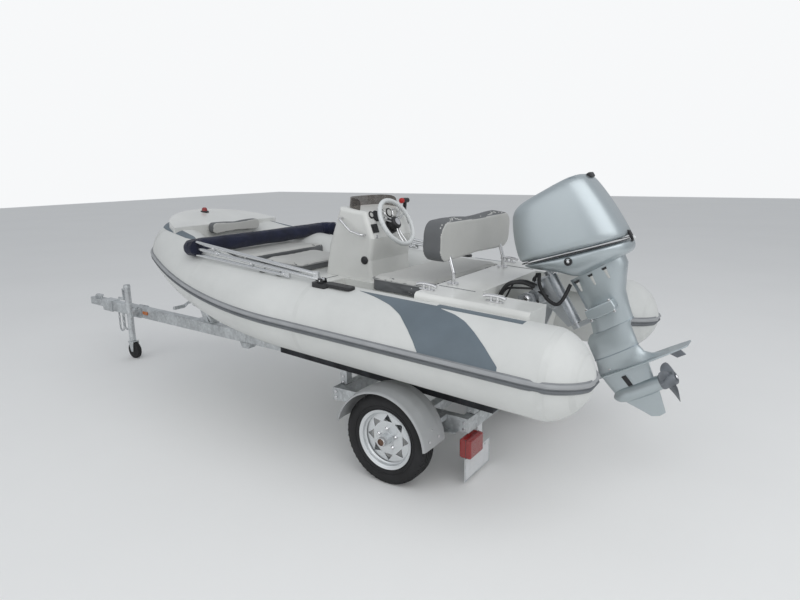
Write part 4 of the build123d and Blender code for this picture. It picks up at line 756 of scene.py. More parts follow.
# Share of the height, front, aft, half width
COWL_RINGS = ((0.0, -44, -612, 182), (0.06, -43, -613, 184), (0.25, -48, -613, 185),
              (0.45, -62, -609, 183), (0.62, -80, -602, 179), (0.76, -97, -594, 173),
              (0.86, -113, -586, 166), (0.93, -130, -577, 156), (0.975, -153, -562, 141),
              (1.0, -200, -530, 108), (1.004, -290, -460, 50))
LOWER_RINGS = ((0.0, -50, -607, 178), (0.10, -51, -607, 179), (0.38, -60, -604, 175),
               (0.62, -80, -600, 165), (0.80, -112, -592, 148), (0.92, -160, -578, 122),
               (1.0, -222, -552, 86))

# Height along the engine of the cowl's crown and of the pan's floor
CROWN = ((-620, 440), (-574, 455), (-500, 466), (-205, 476), (-150, 470), (-40, 440))
PAN_FLOOR = ((-610, -24), (-300, -24), (-240, 36), (-150, 90), (-66, 132), (-40, 138))


def cowl_shell(name, table, end, drop, sharp):
    """Rings from the parting line, lowered by drop, to the heights in end."""
    rings = []
    for share, front, aft, half in table:
        ring = []
        for x, y in rounded_plan(front, aft, half, COWL_CORNER):
            base = part_line(x) - drop
            ring.append(engine(x, y, base + (along(end, x) - base) * share))
        rings.append(ring)
    return loft(name, rings, SILVER, ENGINE_BODY, sharp=sharp, levels=1)


def make_cowl():
    cover = cowl_shell("cowl_cover", COWL_RINGS, CROWN, 0, 80)
    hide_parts("cowl")
    seal = []
    for rise, grow in ((-1, -3), (-1, 0.8), (-5, 0.8), (-5, -3)):
        plan = rounded_plan(-44 + grow, -612 - grow, 183 + grow, COWL_CORNER)
        seal.append([engine(x, y, part_line(x) + rise) for x, y in plan])
    loft("cowl_seal", seal + seal[:1], BLACK_PLASTIC, ENGINE_BODY, caps=False)


def make_lower_cowl():
    """The pan under the parting line, closing in towards the mid case."""
    pan = cowl_shell("lower_pan", LOWER_RINGS, PAN_FLOOR, 10, 60)
    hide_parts("lower_cowl")


# Rings of the mid case and leg: height, front, aft, half width, squareness
CASE_RINGS = ((-14, -230, -540, 80, 3.2), (-60, -234, -536, 77, 3.2), (-120, -234, -498, 72, 3.0),
              (-184, -232, -460, 65, 2.8), (-250, -222, -444, 57, 2.6), (-300, -208, -434, 51, 2.4),
              (-328, -198, -430, 47, 2.4))
LEG_RINGS = ((-326, -182, -424, 40, 2.3), (-342, -160, -410, 43, 2.3), (-358, -147, -400, 44, 2.3),
             (-430, -141, -392, 44, 2.3), (-464, -138, -388, 44, 2.3), (-470, -140, -386, 42, 2.2),
             (-510, -130, -398, 41, 2.2), (-532, -122, -428, 42, 2.1), (-545, -116, -476, 44, 2.0),
             (-552, -114, -520, 44, 2.0))
STRUT_RINGS = ((-550, -126, -394, 20, 2.0), (-600, -134, -386, 20, 2.0), (-650, -146, -378, 22, 2.0),
               (-690, -156, -372, 26, 2.0))
LEG_CORNER = 0.08
SHAFT_Z = -689.0
KINGPIN_X = -140

# Distance astern and radius of the gear case; plan of the plate; outlines of the skeg and the cover
GEAR_CASE = ((0, 0.5), (2, 7), (8, 16), (18, 25), (32, 33), (52, 39), (80, 43), (120, 44), (200, 43),
             (266, 37))
PLATE = ((-116, 40), (-160, 62), (-300, 82), (-420, 93), (-500, 84), (-575, 68), (-614, 56))
SKEG = ((-170, -712), (-374, -712), (-362, -770), (-346, -845), (-312, -851), (-272, -840), (-222, -775))
MOUNT_COVER = ((-255, -188), (-250, -236), (-300, -252), (-398, -252), (-412, -236), (-408, -190))
COVER_BOLTS = ((-268, -190), (-268, -250), (-398, -250), (-398, -190))


def make_leg():
    """Mid case, leg and strut as rounded rings, with the plate, gear case and skeg below them."""
    for name, table in (("mid_case", CASE_RINGS), ("leg_case", LEG_RINGS), ("strut", STRUT_RINGS)):
        rings = []
        for z, front, aft, half, power in table:
            plan = rounded_plan(front, aft, half, LEG_CORNER, 56, power)
            rings.append([engine(x, y, z) for x, y in plan])
        loft(name, rings, SILVER, ENGINE_BODY, sharp=50)
    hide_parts("engine_leg")
    outline = [*PLATE, *((x, -y) for x, y in reversed(PLATE))]
    block("cavitation_plate", outline, -558, -549, engine, SILVER, ENGINE_BODY, 3)
    turned("gear_case", GEAR_CASE, engine(-134, 0, SHAFT_Z), ASTERN, SILVER, ENGINE_BODY, sharp=60)
    block("skeg", SKEG, -6, 6, engine_side, SILVER, ENGINE_BODY, 4)
    kingpin = engine(KINGPIN_X, 0, 0)
    for name, low, high in (("yoke_low", -264, -240), ("yoke_high", 65, 89)):
        turned(name, ((low, 29), (high, 29)), kingpin, KINGPIN_AXIS, BRACKET_METAL, ENGINE_BODY, 32)
        box(name + "_arm", (-290, -24, low), (KINGPIN_X, 24, high), engine, BRACKET_METAL, ENGINE_BODY, 3)
    turned("kingpin", ((-259, 14), (84, 14)), kingpin, KINGPIN_AXIS, STAINLESS, ENGINE_BODY, 24)


def make_engine_sides(side, word):
    """Flush port, case slots, cover over the lower mount, intake grille and strut bolts."""
    outward = ACROSS * side
    port = engine(-325, side * 174, part_line(-325) - 42)
    turned("pan_port_" + word, ((0, 21), (8, 21), (9, 17), (3, 15), (3, 0.5)), port, outward,
           BLACK_PLASTIC, ENGINE_BODY, 32)
    turned("pan_plug_" + word, ((0, 8), (7, 8), (8, 5), (8, 0.5)), port, outward, ALLOY, ENGINE_BODY, 16)
    for index, x in enumerate((-290, -370, -450)):
        slot = ((x, -34), (x + 18, -34), (x + 14, -92), (x + 6, -92))
        gap = ((x - 3, -30), (x + 24, -30), (x + 20, -42), (x, -42))
        for name, outline, reach, material, bevel in (("case_slot", slot, 81, DIAL_FACE, 2),
                                                      ("case_gap", gap, 82.5, BLACK_PLASTIC, 1)):
            block(f"{name}_{word}_{index}", outline, side * 66, side * reach, engine_side, material,
                  ENGINE_BODY, bevel)
    prism("mount_cover_" + word, MOUNT_COVER, side * 60, side * 121, engine_side, SILVER, ENGINE_BODY,
          sharp=30, bevel=9)
    for index, (x, z) in enumerate(COVER_BOLTS):
        turned(f"cover_bolt_{word}_{index}", ((0, 8), (7, 8), (8, 6), (8, 0.5)), engine(x, side * 112, z),
               outward, STAINLESS, ENGINE_BODY, 6)
    grille = ((-232, -590), (-256, -590), (-268, -650), (-244, -650))
    block("intake_" + word, grille, side * 18, side * 27, engine_side, BLACK_PLASTIC, ENGINE_BODY, 2)
    for index, x in enumerate((-200, -250)):
        turned(f"plate_bolt_{word}_{index}", ((0, 7), (6, 7), (7, 5), (7, 0.5)),
               engine(x, side * 30, -530), outward, STAINLESS, ENGINE_BODY, 6)


def make_engine_details():
    """Painted shade lines and slots of the crown, its grip and latch, both sides' fittings, leg seams in
    painted shade and the anode.
    """
    for side, word in SIDES:
        # A line of painted shade along the crease on each side of the crown
        rim = [engine(x, side * y, along(CROWN, x) - drop) for x, y, drop in
               ((-235, 108, 6), (-330, 128, 12), (-450, 132, 12), (-545, 110, 10))]
        bar("crown_shade_line_" + word, rim, 1.6, SILVER_SHADE, ENGINE_BODY, around=8)
        for k in range(4):
            low, high = (-420 + 14 * k, side * 96 - 9, 463), (-414 + 14 * k, side * 96 + 9, 468)
            box(f"crown_slot_{word}_{k}", low, high, engine, BLACK_PLASTIC, ENGINE_BODY, 0.5)
    box("crown_grip", (-592, -34, 412), (-568, 34, 440), engine, BLACK_PLASTIC, ENGINE_BODY, 7)
    latch = ((-608, 92), (-622, 80), (-622, 34), (-608, 22))
    block("rear_latch", latch, -14, 14, engine_side, BLACK_PLASTIC, ENGINE_BODY, 3)
    turned("latch_knob", ((0, 11), (14, 11), (18, 7), (18.5, 0.5)), engine(-612, 0, 40), ASTERN,
           HELM_WHITE, ENGINE_BODY, 24)
    for side, word in SIDES:
        make_engine_sides(side, word)
    # Seams round the leg: real joints, coloured with the painted shade
    for name, z, front, aft, half in (("upper", -328, -196, -431, 45.5), ("lower", -463, -138, -388, 43.6)):
        rings = []
        for dz, grow in ((-2.5, -4), (-2.5, 1.4), (2.5, 1.4), (2.5, -4)):
            plan = rounded_plan(front + grow, aft - grow, half + grow, LEG_CORNER, 48, 2.35)
            rings.append([engine(x, y, z + dz) for x, y in plan])
        loft(f"leg_seam_{name}", rings + rings[:1], SILVER_SHADE, ENGINE_BODY, caps=False)
    anode = ((-500, -562), (-560, -562), (-575, -600), (-530, -600))
    block("trim_tab", anode, -5, 5, engine_side, PROP_METAL, ENGINE_BODY, 1.5)


# Propeller: where its blades stand, radii of their root and tip, pitch in millimetres a radian
PROP_CENTRE_X = -438.0
BLADE_ROOT = 34
BLADE_TIP = 124
BLADE_PITCH = 62
HUB = ((0, 40), (8, 42), (60, 38), (76, 34), (80, 26), (74, 22), (70, 0.5))


def blade_section(t):
    """Outline of a blade at share t of its length: across and thickness, in millimetres."""
    chord = 36 * math.sin(math.pi * (0.22 + 0.72 * t)) ** 0.7 * (1 - 0.35 * t ** 6) + 1.0
    shares = [-1 + 2 * j / 16 for j in range(17)]
    back = [(u * chord, (1 - u * u) * 3.2 * (1 - 0.75 * t) + 0.6) for u in shares]
    return back + [(a, -b * 0.4) for a, b in reversed(back[1:-1])]


def make_propeller():
    hub = turned("prop_hub", HUB, engine(-400.5, 0, SHAFT_Z), ASTERN, PROP_METAL, "screw")
    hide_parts("propeller")
    turned("prop_nut", ((0, 13), (14, 13), (18, 8), (18, 0.5)), engine(-470, 0, SHAFT_Z), ASTERN,
           STAINLESS, "screw", 6)
    for blade in range(3):
        start = math.radians(120 * blade + 25)
        rings = []
        for k in range(15):
            t = k / 14
            r = BLADE_ROOT + (BLADE_TIP - BLADE_ROOT) * t
            pitch = math.atan2(BLADE_PITCH, r)
            skew = 10 * t * t
            ring = []
            for a, b in blade_section(t):
                turn = start + (a * math.cos(pitch) + skew) / r
                ring.append(engine(PROP_CENTRE_X - a * math.sin(pitch) - b * math.cos(pitch),
                                   r * math.cos(turn), SHAFT_Z + r * math.sin(turn)))
            rings.append(ring)
        loft(f"prop_blade_{blade}", rings, PROP_METAL, "screw", sharp=60)


# Soft goods
CLOTH_FRAMES = 20
CLOTH_PRESSURE = 3.5
CLOTH_STIFFNESS = (("tension", 40.0), ("compression", 40.0), ("shear", 20.0))
PAD_VOXEL = 0.006
PAD_FOOT = 0.006


def swell(obj, cap, keep_flat):
    """Remeshes a pad, blows it up as cloth under pressure, and limits how far each point moves."""
    remesh = obj.modifiers.new("remesh", "REMESH")
    remesh.mode = "VOXEL"
    remesh.voxel_size = PAD_VOXEL
    bpy.context.view_layer.objects.active = obj
    bpy.ops.object.modifier_apply(modifier=remesh.name)
    before = [v.co.copy() for v in obj.data.vertices]
    cloth = obj.modifiers.new("cloth", "CLOTH")
    settings = cloth.settings
    settings.use_pressure = True
    settings.uniform_pressure_force = CLOTH_PRESSURE
    settings.effector_weights.gravity = 0.0
    for kind, stiffness in CLOTH_STIFFNESS:
        setattr(settings, kind + "_stiffness", stiffness)
    for number in range(1, CLOTH_FRAMES + 1):
        SCENE.frame_set(number)
    bpy.ops.object.modifier_apply(modifier=cloth.name)
    SCENE.frame_set(1)
    for vertex, old in zip(obj.data.vertices, before):
        move = vertex.co - old
        if move.length > cap:
            move = move.normalized() * cap
        vertex.co = old + keep_flat(old, move)
    for face in obj.data.polygons:
        face.use_smooth = True


def middle(outline):
    return tuple(sum(values) / len(outline) for values in zip(*outline))


def drawn_in(outline, by):
    """The outline drawn towards its middle by some millimetres."""
    cx, cy = middle(outline)
    out = []
    for a, b in outline:
        d = Vector((a - cx, b - cy))
        d *= max(0.0, 1 - by / max(d.length, 1.0))
        out.append((cx + d.x, cy + d.y))
    return out


def pad(name, outline, low, high, place, body, node, cap):
    """A cushion over a plan outline between two levels, swelled; its foot stays flat."""
    levels = ((low, 11), (low + 3, 6), (high - 16, 5), (high - 6, 9), (high, 21))
    rings = [[place(a, b, z) for a, b in drawn_in(outline, by)] for z, by in levels]
    obj = loft(name, rings, VINYL_LIGHT, body, sharp=180)
    foot = place(*middle(outline), low)
    up = (place(*middle(outline), high) - foot).normalized()

    def keep_flat(old, move):
        return move if (old - foot).dot(up) > PAD_FOOT else move - up * move.dot(up)

    swell(obj, cap, keep_flat)
    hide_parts(node)
    return obj


def piping(name, outline, z, body):
    path = [boat(a, b, z) for a, b in drawn_in(outline, 6)]
    bar(name, path + path[:1], 3.2, VINYL_PIPING, body, around=8, smooth_path=False)


# Starboard half of the bow cushion's outline
BOW_PAD = [(2380, -415), (2700, -318), (2905, -222)]

# Pads: piece, plan, levels, place, body, node, cap of the swelling in metres, piping and its level
PADS = (
    ("bench_cushion", rounded_rect(892, 1285, -468, 468, 45), 170.3, 246, boat,
     "bench_seat", "aft_cushion", 0.010, "bench_piping", 238),
    ("fore_pad", rounded_rect(2000, 2359, -268, 268, 40), 130.3, 184, boat,
     "fore_seat", "fore_cushion", 0.010, "fore_piping", 177),
    ("bow_pad", BOW_PAD + [(x, -y) for x, y in reversed(BOW_PAD)], 131, 205, boat,
     BOAT_BODY, "bow_cushion", 0.010, None, None),
    ("bench_backrest", rounded_rect(-452, 452, 374, 600, 80), 838, 956, boat_on_edge,
     BOAT_BODY, "backrest", 0.008, None, None),
    ("bow_bolster", rounded_rect(-255, 220, 290, 372, 30), 2930, 2992, boat_on_edge,
     BOAT_BODY, "bow_backrest", 0.006, None, None),
)


def make_cushions():
    """Pads with a darker band round their sides; backrests stand on edge."""
    for name, plan, low, high, place, body, node, cap, line, level in PADS:
        outline = dense(plan)
        obj = pad(name, outline, low, high, place, body, node, cap)
        obj.data.materials.append(VINYL_GREY)
        facing, limit = (UP, 0.62) if place is boat else (AHEAD, 0.55)
        for face in obj.data.polygons:
            if abs(face.normal.dot(facing)) < limit:
                face.material_index = 1
        if line:
            piping(line, outline, level, body)


# Half of the boot's path, from its port end to the middle, and its radius
BOOT_PATH = ((2490, 690, 297), (2560, 688, 290), (2604, 640, 287), (2611, 520, 286), (2611, 200, 284))
BOOT_R = 54.0


def make_boot():
    """The folded canopy in its zipped canvas sleeve, lumpy along its length."""
    points = [boat(*p) for p in BOOT_PATH] + [boat(x, -y, z) for x, y, z in reversed(BOOT_PATH)]
    path = spline(points, 14)
    rings = []
    for i, at in enumerate(path):
        ahead = heading_at(path, i).normalized()
        normal = (UP - ahead * UP.dot(ahead)).normalized()
        side = ahead.cross(normal)
        shrink = min(1.0, 0.72 + 0.07 * min(i, len(path) - 1 - i))
        ring = []
        for a in turns(40):
            c, s = math.cos(a), math.sin(a)
            wrinkle = noise.noise(Vector((i * 0.16, c * 1.6, s * 1.6)))
            fold = noise.noise(Vector((i * 0.55, c * 3.0, s * 3.0)))
            r = (BOOT_R + 5.0 * wrinkle + 2.5 * fold) * shrink * (1.0 - 0.05 * c) * MM
            ring.append(at + (normal * c * 0.96 + side * s) * r)
        rings.append(ring)
    sleeve = loft("canopy_sleeve", rings, BOOT_NAVY, "bimini", sharp=180, levels=1)
    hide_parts("bimini_boot")
    zip_line = [p - UP * 0.050 for p in path[8:-8]]
    bar("sleeve_zip", zip_line, 3.0, BLACK_PLASTIC, "bimini", around=8, smooth_path=False)


# The bimini's legs, and the jaws along them
BIMINI_LEG_Y = 700.0
JAWS = ((2330, 313), (2300, 284), (1990, 262), (1720, 236))


def make_bimini_fittings():
    """Jaws with their pins, the black mount pad behind the hinge and the line tabs."""
    for side, word in SIDES:
        for index, (x, z) in enumerate(JAWS):
            at = boat(x, side * BIMINI_LEG_Y, z)
            direction = boat(x + 10, side * BIMINI_LEG_Y, z + 0.5) - at
            turned(f"jaw_{word}_{index}", ((-16, 10), (-15, 15), (15, 15), (16, 10)), at, direction,
                   ALLOY, "bimini", 20)
            turned(f"jaw_pin_{word}_{index}", ((-18, 5), (-16, 8), (16, 8), (18, 5)), at, ACROSS,
                   STAINLESS, "bimini", 12)
        mount = [(x, side * 690 + y) for x, y in rounded_rect(1225, 1425, -34, 34, 26)]
        prism("mount_pad_" + word, mount, 214, 232, boat, BLACK_PLASTIC, bevel=5)
        for index, x in enumerate((1760, 1900)):
            outline = ((x, 214), (x + 46, 214), (x + 20, 240))
            rings = [[boat(a, side * y, b) for a, b in outline] for y in (660, 690)]
            loft(f"line_tab_{word}_{index}", rings, BLACK_PLASTIC, smooth=False, bevel=3)


# Helm, and the console's middle, which lies to starboard
CONSOLE_Y = -85
HELM_TILT = math.radians(32.0 - 3.37)
HELM_AXIS = Vector((-math.cos(HELM_TILT), 0, math.sin(HELM_TILT)))
HELM_CENTRE = boat(1478, CONSOLE_Y, 496)
HELM_R = 156.5


def helm_point(radius, angle, height):
    v = HELM_AXIS.cross(ACROSS)
    a = math.radians(angle)
    out = ACROSS * math.cos(a) + v * math.sin(a)
    return HELM_CENTRE + out * (radius * MM) + HELM_AXIS * (height * MM)


def make_helm():
    ring = [helm_point(HELM_R, 360 * k / 72, 0) for k in range(73)]
    wheel = bar("helm_ring", ring, 15, HELM_WHITE, "helm", around=20, smooth_path=False)
    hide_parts("helm_wheel")
    for spoke in range(3):
        base = 90 + 120 * spoke
        for tag, shift in (("a", -7), ("b", 7)):
            points = [helm_point(30, base + shift * 2.4, -10), helm_point(80, base + shift * 1.6, -14),
                      helm_point(150, base + shift, -2)]
            bar(f"helm_spoke_{spoke}_{tag}", points, 5, STAINLESS, "helm", around=10)
    turned("helm_hub", ((-42, 38), (-40, 44), (-14, 44), (2, 40), (9, 30), (11, 0.5)), HELM_CENTRE,
           HELM_AXIS, BLACK_PLASTIC, "helm", 40)
    turned("helm_badge", ((0, 24), (2, 24), (3, 20), (3, 0.5)), HELM_CENTRE + HELM_AXIS * 0.009,
           HELM_AXIS, STAINLESS, "helm", 32)


# Console dash: its lower and upper edge, and its gauges as place across, share up it and radius
DASH_LOW = Vector((1500, 0, 405))
DASH_HIGH = Vector((1570, 0, 570))
GAUGES = ((40, 0.80, 30), (-30, 0.86, 26), (-110, 0.86, 26), (-175, 0.80, 30), (88, 0.86, 18))


def dash(y, share, out):
    """Point on the dash face: y across, share up it, out from it in millimetres."""
    p = DASH_LOW.lerp(DASH_HIGH, share)
    n = Vector((-(DASH_HIGH.z - DASH_LOW.z), 0, DASH_HIGH.x - DASH_LOW.x)).normalized()
    p = p + n * out
    return boat(p.x, y, p.z)


def make_console_details():
    """Gauges, switches and key on the dash, the socket on the console's side and the lever's grip."""
    outward = dash(0, 0.5, 10) - dash(0, 0.5, 0)
    for index, (y, share, r) in enumerate(GAUGES):
        bezel = ((-4, r + 6), (5, r + 6), (8, r + 2), (5, r - 1), (4, 0.5))
        face = ((0, r - 3), (5.4, r - 3), (6.2, 0.5))
        turned(f"gauge_{index}", bezel, dash(y, share, 0), outward,
               STAINLESS if index % 2 else BLACK_PLASTIC, around=36)
        turned(f"gauge_face_{index}", face, dash(y, share, 0), outward,
               DIAL_FACE if index else BLACK_PLASTIC, around=36)
    block("switch_panel", rounded_rect(62, 122, 0.20, 0.52, 0.04), -2, 6, dash, BLACK_PLASTIC, bevel=1)
    for k in range(3):
        box(f"rocker_{k}", (70 + 16 * k, 0.28, 5), (82 + 16 * k, 0.44, 11), dash, BLACK_PLASTIC)
    turned("key_switch", ((0, 12), (6, 12), (8, 8), (8, 0.5)), dash(100, 0.06, 0), outward, STAINLESS,
           around=24)
    turned("side_socket", ((-4, 26), (6, 26), (10, 20), (10, 0.5)), boat(1560, CONSOLE_Y + 230, 262),
           ACROSS, BLACK_PLASTIC, around=32)
    bar("lever_grip", [boat(1602, -398, 612), boat(1602, -330, 614)], 17, BLACK_PLASTIC, around=20)
    turned("lever_cap", ((-4, 19), (10, 19), (14, 12), (14, 0.5)), boat(1602, -327, 612), ACROSS,
           RED_GRIP, around=24)


# Windscreen plan, port half, from its rear end to the middle: along, across, height of the top edge
SCREEN_PLAN = ((1630, 205, 604), (1640, 204, 632), (1665, 201, 645), (1705, 192, 648), (1735, 172, 648),
               (1752, 138, 648), (1760, 90, 648), (1763, 40, 648), (1764, 0, 648))
SCREEN_FOOT = 545
SCREEN_HALF = 2.5
SCREEN_LEAN = 8


def make_windscreen():
    line = [*SCREEN_PLAN, *((x, -y, top) for x, y, top in reversed(SCREEN_PLAN[:-1]))]
    path = spline([Vector(p) for p in line], 5)
    rings = []
    for i, at in enumerate(path):
        ahead = heading_at(path, i)
        normal = Vector((-ahead.y, ahead.x, 0)).normalized()
        ring = []
        for z, d, lean in ((SCREEN_FOOT, -SCREEN_HALF, 0), (SCREEN_FOOT, SCREEN_HALF, 0),
                           (at.z, SCREEN_HALF, SCREEN_LEAN), (at.z, -SCREEN_HALF, SCREEN_LEAN)):
            ring.append(boat(at.x + normal.x * d - lean, CONSOLE_Y + at.y + normal.y * d, z))
        rings.append(ring)
    screen = loft("windscreen_sheet", rings, SCREEN, sharp=60)
    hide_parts("windscreen")


# Dark lines of painted shade in the gaps where hatches meet the deck: name, ends and level
DECK_SHADE_LINES = (("fore_hatch_line", ((1780, -520), (1780, 520)), 130.5),
              ("well_line_port", ((640, 400), (860, 400)), 250.5),
              ("well_line_starboard", ((640, -400), (860, -400)), 250.5))
BOW_EYE = ((3330, 0, -60), (3365, 0, -80), (3370, 0, -110), (3340, 0, -125), (3310, 0, -105))


def make_cleat(name, x, y):
    """Returns the cleat's base."""
    base = prism(name + "_base", rounded_rect(x - 46, x + 46, y - 17, y + 17, 16), 250.3, 256, boat,
                 STAINLESS, sharp=30, bevel=2)
    for tag, shift in (("a", -17), ("f", 17)):
        bar(f"{name}_leg_{tag}", [boat(x + shift, y, 254), boat(x + shift, y, 276)], 9, STAINLESS)
    horns = [boat(x + shift, y, z) for shift, z in ((-60, 272), (-30, 279), (30, 279), (60, 272))]
    bar(name + "_horns", horns, 9, STAINLESS)
    return base


def make_deck_details():
    """Hatch lines of painted shade, cleats, the bow light and the bow eye."""
    for name, ends, z in DECK_SHADE_LINES:
        # A dark bar of painted shade along each gap
        bar(name, [boat(x, y, z) for x, y in ends], 2.2, RAIL_SHADE, around=6)
    for side, word in SIDES:
        for index, x in enumerate((470, 860)):
            base = make_cleat(f"cleat_{word}_{index}", x, side * 530)
            if side > 0 and index == 0:
                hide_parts("cleats")
    light = boat(3290, 0, 404)
    turned("bow_light_base", ((0, 34), (10, 34), (16, 26), (18, 0.5)), light, UP, BLACK_PLASTIC,
           around=32)
    turned("bow_light", ((16, 22), (34, 20), (42, 12), (44, 0.5)), light, UP, RED_LENS, around=24)
    bar("bow_ring", [boat(*p) for p in BOW_EYE], 6, STAINLESS, around=10)


# Wheels: half the track, axle height, tyre section from the bead to the tread, and the grooves' middles
WHEEL_Y = 690
WHEEL_Z = 257.5
TYRE_SIDE = ((38, 156.4), (43, 172), (54, 188), (60, 208), (60, 222), (56, 238), (47, 248), (45, 252),
             (44, 254.5))
GROOVES = (-30, -10, 10, 30)
BEAD_RING = ((55, 190), (59.5, 192), (59.5, 194), (57, 197))
RIM_STEPS = ((38, 168), (45, 167), (47, 163), (45, 159), (40, 157), (36, 152), (30, 151), (24, 147),
             (20, 140))

# A shoulder block's corners: radius, distance from the tyre's middle, half width with its sign
BLOCK_CORNERS = ((240, 55, -5), (240, 55, 5), (251, 50, 5), (251, 50, -5), (240, 48, -5), (240, 48, 5),
                 (251, 44, 5), (251, 44, -5))
BLOCK_FACES = ((0, 1, 2, 3), (4, 7, 6, 5), (0, 4, 5, 1), (1, 5, 6, 2), (2, 6, 7, 3), (3, 7, 4, 0))


def wheel_centre(side):
    return floor_point(AXLE_X, side * WHEEL_Y, WHEEL_Z)


def round_axle(r, angle, y):
    """Point at a radius and an angle in radians round the axle."""
    return floor_point(AXLE_X + r * math.cos(angle), y, WHEEL_Z + r * math.sin(angle))


def make_tyre(side, word):
    """Tyre with grooves, the bead ring of its sidewall and its shoulder blocks."""
    axis = ACROSS * side
    centre = wheel_centre(side)
    wheel = "wheel_" + word
    profile = [(-d, r) for d, r in TYRE_SIDE]
    for g in GROOVES:
        profile += [(g - 3.5, 256.6), (g - 3.0, 249.5), (g + 3.0, 249.5), (g + 3.5, 256.6)]
    profile += reversed(TYRE_SIDE)
    tyre = turned("tyre_tread_" + word, profile, centre, axis, TYRE_RUBBER, wheel, 72, caps=False,
                  sharp=30)
    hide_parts("tyre_" + word)
    turned("bead_ring_" + word, BEAD_RING, centre, axis, TYRE_RUBBER, wheel, 72, caps=False)
    verts = []
    for k, a in enumerate(turns(48)):
        u = Vector((math.cos(a), 0, math.sin(a)))
        v = Vector((-math.sin(a), 0, math.cos(a)))
        for edge in (1,) if k % 2 else (-1, 1):
            for r, y, t in BLOCK_CORNERS:
                verts.append(centre + u * r * MM + axis * (edge * y * MM) + v * t * MM)
    faces = [tuple(start + k for k in face) for start in range(0, len(verts), 8) for face in BLOCK_FACES]
    piece("tread_blocks_" + word, verts, faces, TYRE_RUBBER, wheel, smooth=False)


def strip(at, half, thick):
    """Section of a flat strip across the trailer."""
    corners = ((-half, -thick), (half, -thick), (half, thick), (-half, thick))
    return [at + Vector((0, y, z)) * MM for y, z in corners]


def make_wheel_details(side, word):
    """Lugs, rim steps and hub, with the leaf spring and its clamps inboard of the wheel."""
    axis = ACROSS * side
    centre = wheel_centre(side)
    wheel = "wheel_" + word
    for k, turn in enumerate(turns(5)):
        a = turn + 0.3
        at = centre + Vector((math.cos(a), 0, math.sin(a))) * 0.057 + axis * 0.014
        turned(f"lug_{word}_{k}", ((0, 11), (14, 11), (18, 7), (18, 0.5)), at, axis, STAINLESS, wheel, 6)
    turned("rim_steps_" + word, RIM_STEPS, centre, axis, RIM_ZINC, wheel, 72, caps=False, sharp=60)
    turned("hub_ring_" + word, ((0, 27), (24, 27), (27, 25), (27, 20), (12, 19)), centre + axis * 0.058,
           axis, STAINLESS, wheel, 40, caps=False, sharp=50)
    turned("hub_grease_" + word, ((0, 19), (12, 19), (14, 12), (15, 0.5)), centre + axis * 0.060, axis,
           HUB_GREASE, wheel, 32)
    for leaf, (length, z) in enumerate(((330, 274), (240, 266), (150, 258))):
        shares = (-1, -0.5, 0, 0.5, 1)
        arc = [floor_point(AXLE_X + length * t, side * 520, z + 26 * t * t) for t in shares]
        rings = [strip(at, 22, 3) for at in spline(arc, 6)]
        loft(f"leaf_{word}_{leaf}", rings, GALVANISED, smooth=False)
    for k, x in enumerate((AXLE_X - 26, AXLE_X + 26)):
        path = [floor_point(x, side * y, z) for y, z in ((494, 215), (494, 290), (546, 290), (546, 215))]
        bar(f"spring_clamp_{word}_{k}", path, 6, STAINLESS, around=10, smooth_path=False)


# Fender section: across from its inner edge and out from its arc; then the same lip seen from below
FENDER_OVER = ((0, -10), (2, -1), (8, 2), (38, 2.5), (50, 6), (64, 13), (84, 15), (134, 15), (156, 12),
               (172, 4), (198, 1.5), (208, -1), (213, -6), (215, -16))
FENDER_UNDER = ((211, -16), (209, -9), (204, -5), (170, -1), (154, 7), (134, 10), (84, 10), (66, 8),
                (52, 1), (38, -2), (10, -2), (5, -4), (4, -10))
FENDER_INNER = 582.5
FENDER_R = 290.5
FENDER_FLAT = 2.5


def make_fender(side, word):
    """Shell with a crown that fades to its ends, the apron inside it, its arms and its foot's bolts."""
    rings = []
    for k in range(49):
        share = k / 48
        a = math.radians(14 + (176 - 14) * share)
        crown = min(1.0, share / 0.10, (1 - share) / 0.16)
        ring = []
        for across, out in FENDER_OVER + FENDER_UNDER:
            lift = out if out <= FENDER_FLAT else FENDER_FLAT + (out - FENDER_FLAT) * crown
            ring.append(round_axle(FENDER_R + lift * 0.7, a, side * (FENDER_INNER + across)))
        rings.append(ring)
    fender = loft("fender_" + word + "_shell", rings, FENDER_GREY, sharp=65)
    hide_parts("fender_" + word)
    edges = [(290, a) for a in range(25, 156, 5)] + [(214, a) for a in range(155, 24, -5)]
    rings = [[round_axle(r, math.radians(a), side * y) for r, a in edges] for y in (583, 587)]
    loft("fender_apron_" + word, rings, FENDER_GREY, smooth=False, bevel=1)
    near, far = sorted((side * 503, side * 584))
    for k, x in enumerate((AXLE_X - 235, AXLE_X + 235)):
        box(f"fender_arm_{word}_{k}", (x - 20, near, 350), (x + 20, far, 380), floor_point, GALVANISED,
            bevel=2)
    for k, (degrees, y) in enumerate(((168, 655), (168, 745), (158, 700))):
        a = math.radians(degrees)
        outward = Vector((math.cos(a), 0, math.sin(a)))
        bolt(f"fender_bolt_{word}_{k}", round_axle(293, a, side * y), outward, 8)


# Trailer: its rear crossmember, the lamps' middles, the bunks' posts and the plate's rim
REAR_X = AXLE_X - 383.0
LAMP_Y = 470
BUNK_Y = 400
POSTS_X = (AXLE_X - 358, AXLE_X + 530)
PLATE_RIM = rounded_rect(224, 520, 18, 162, 8)


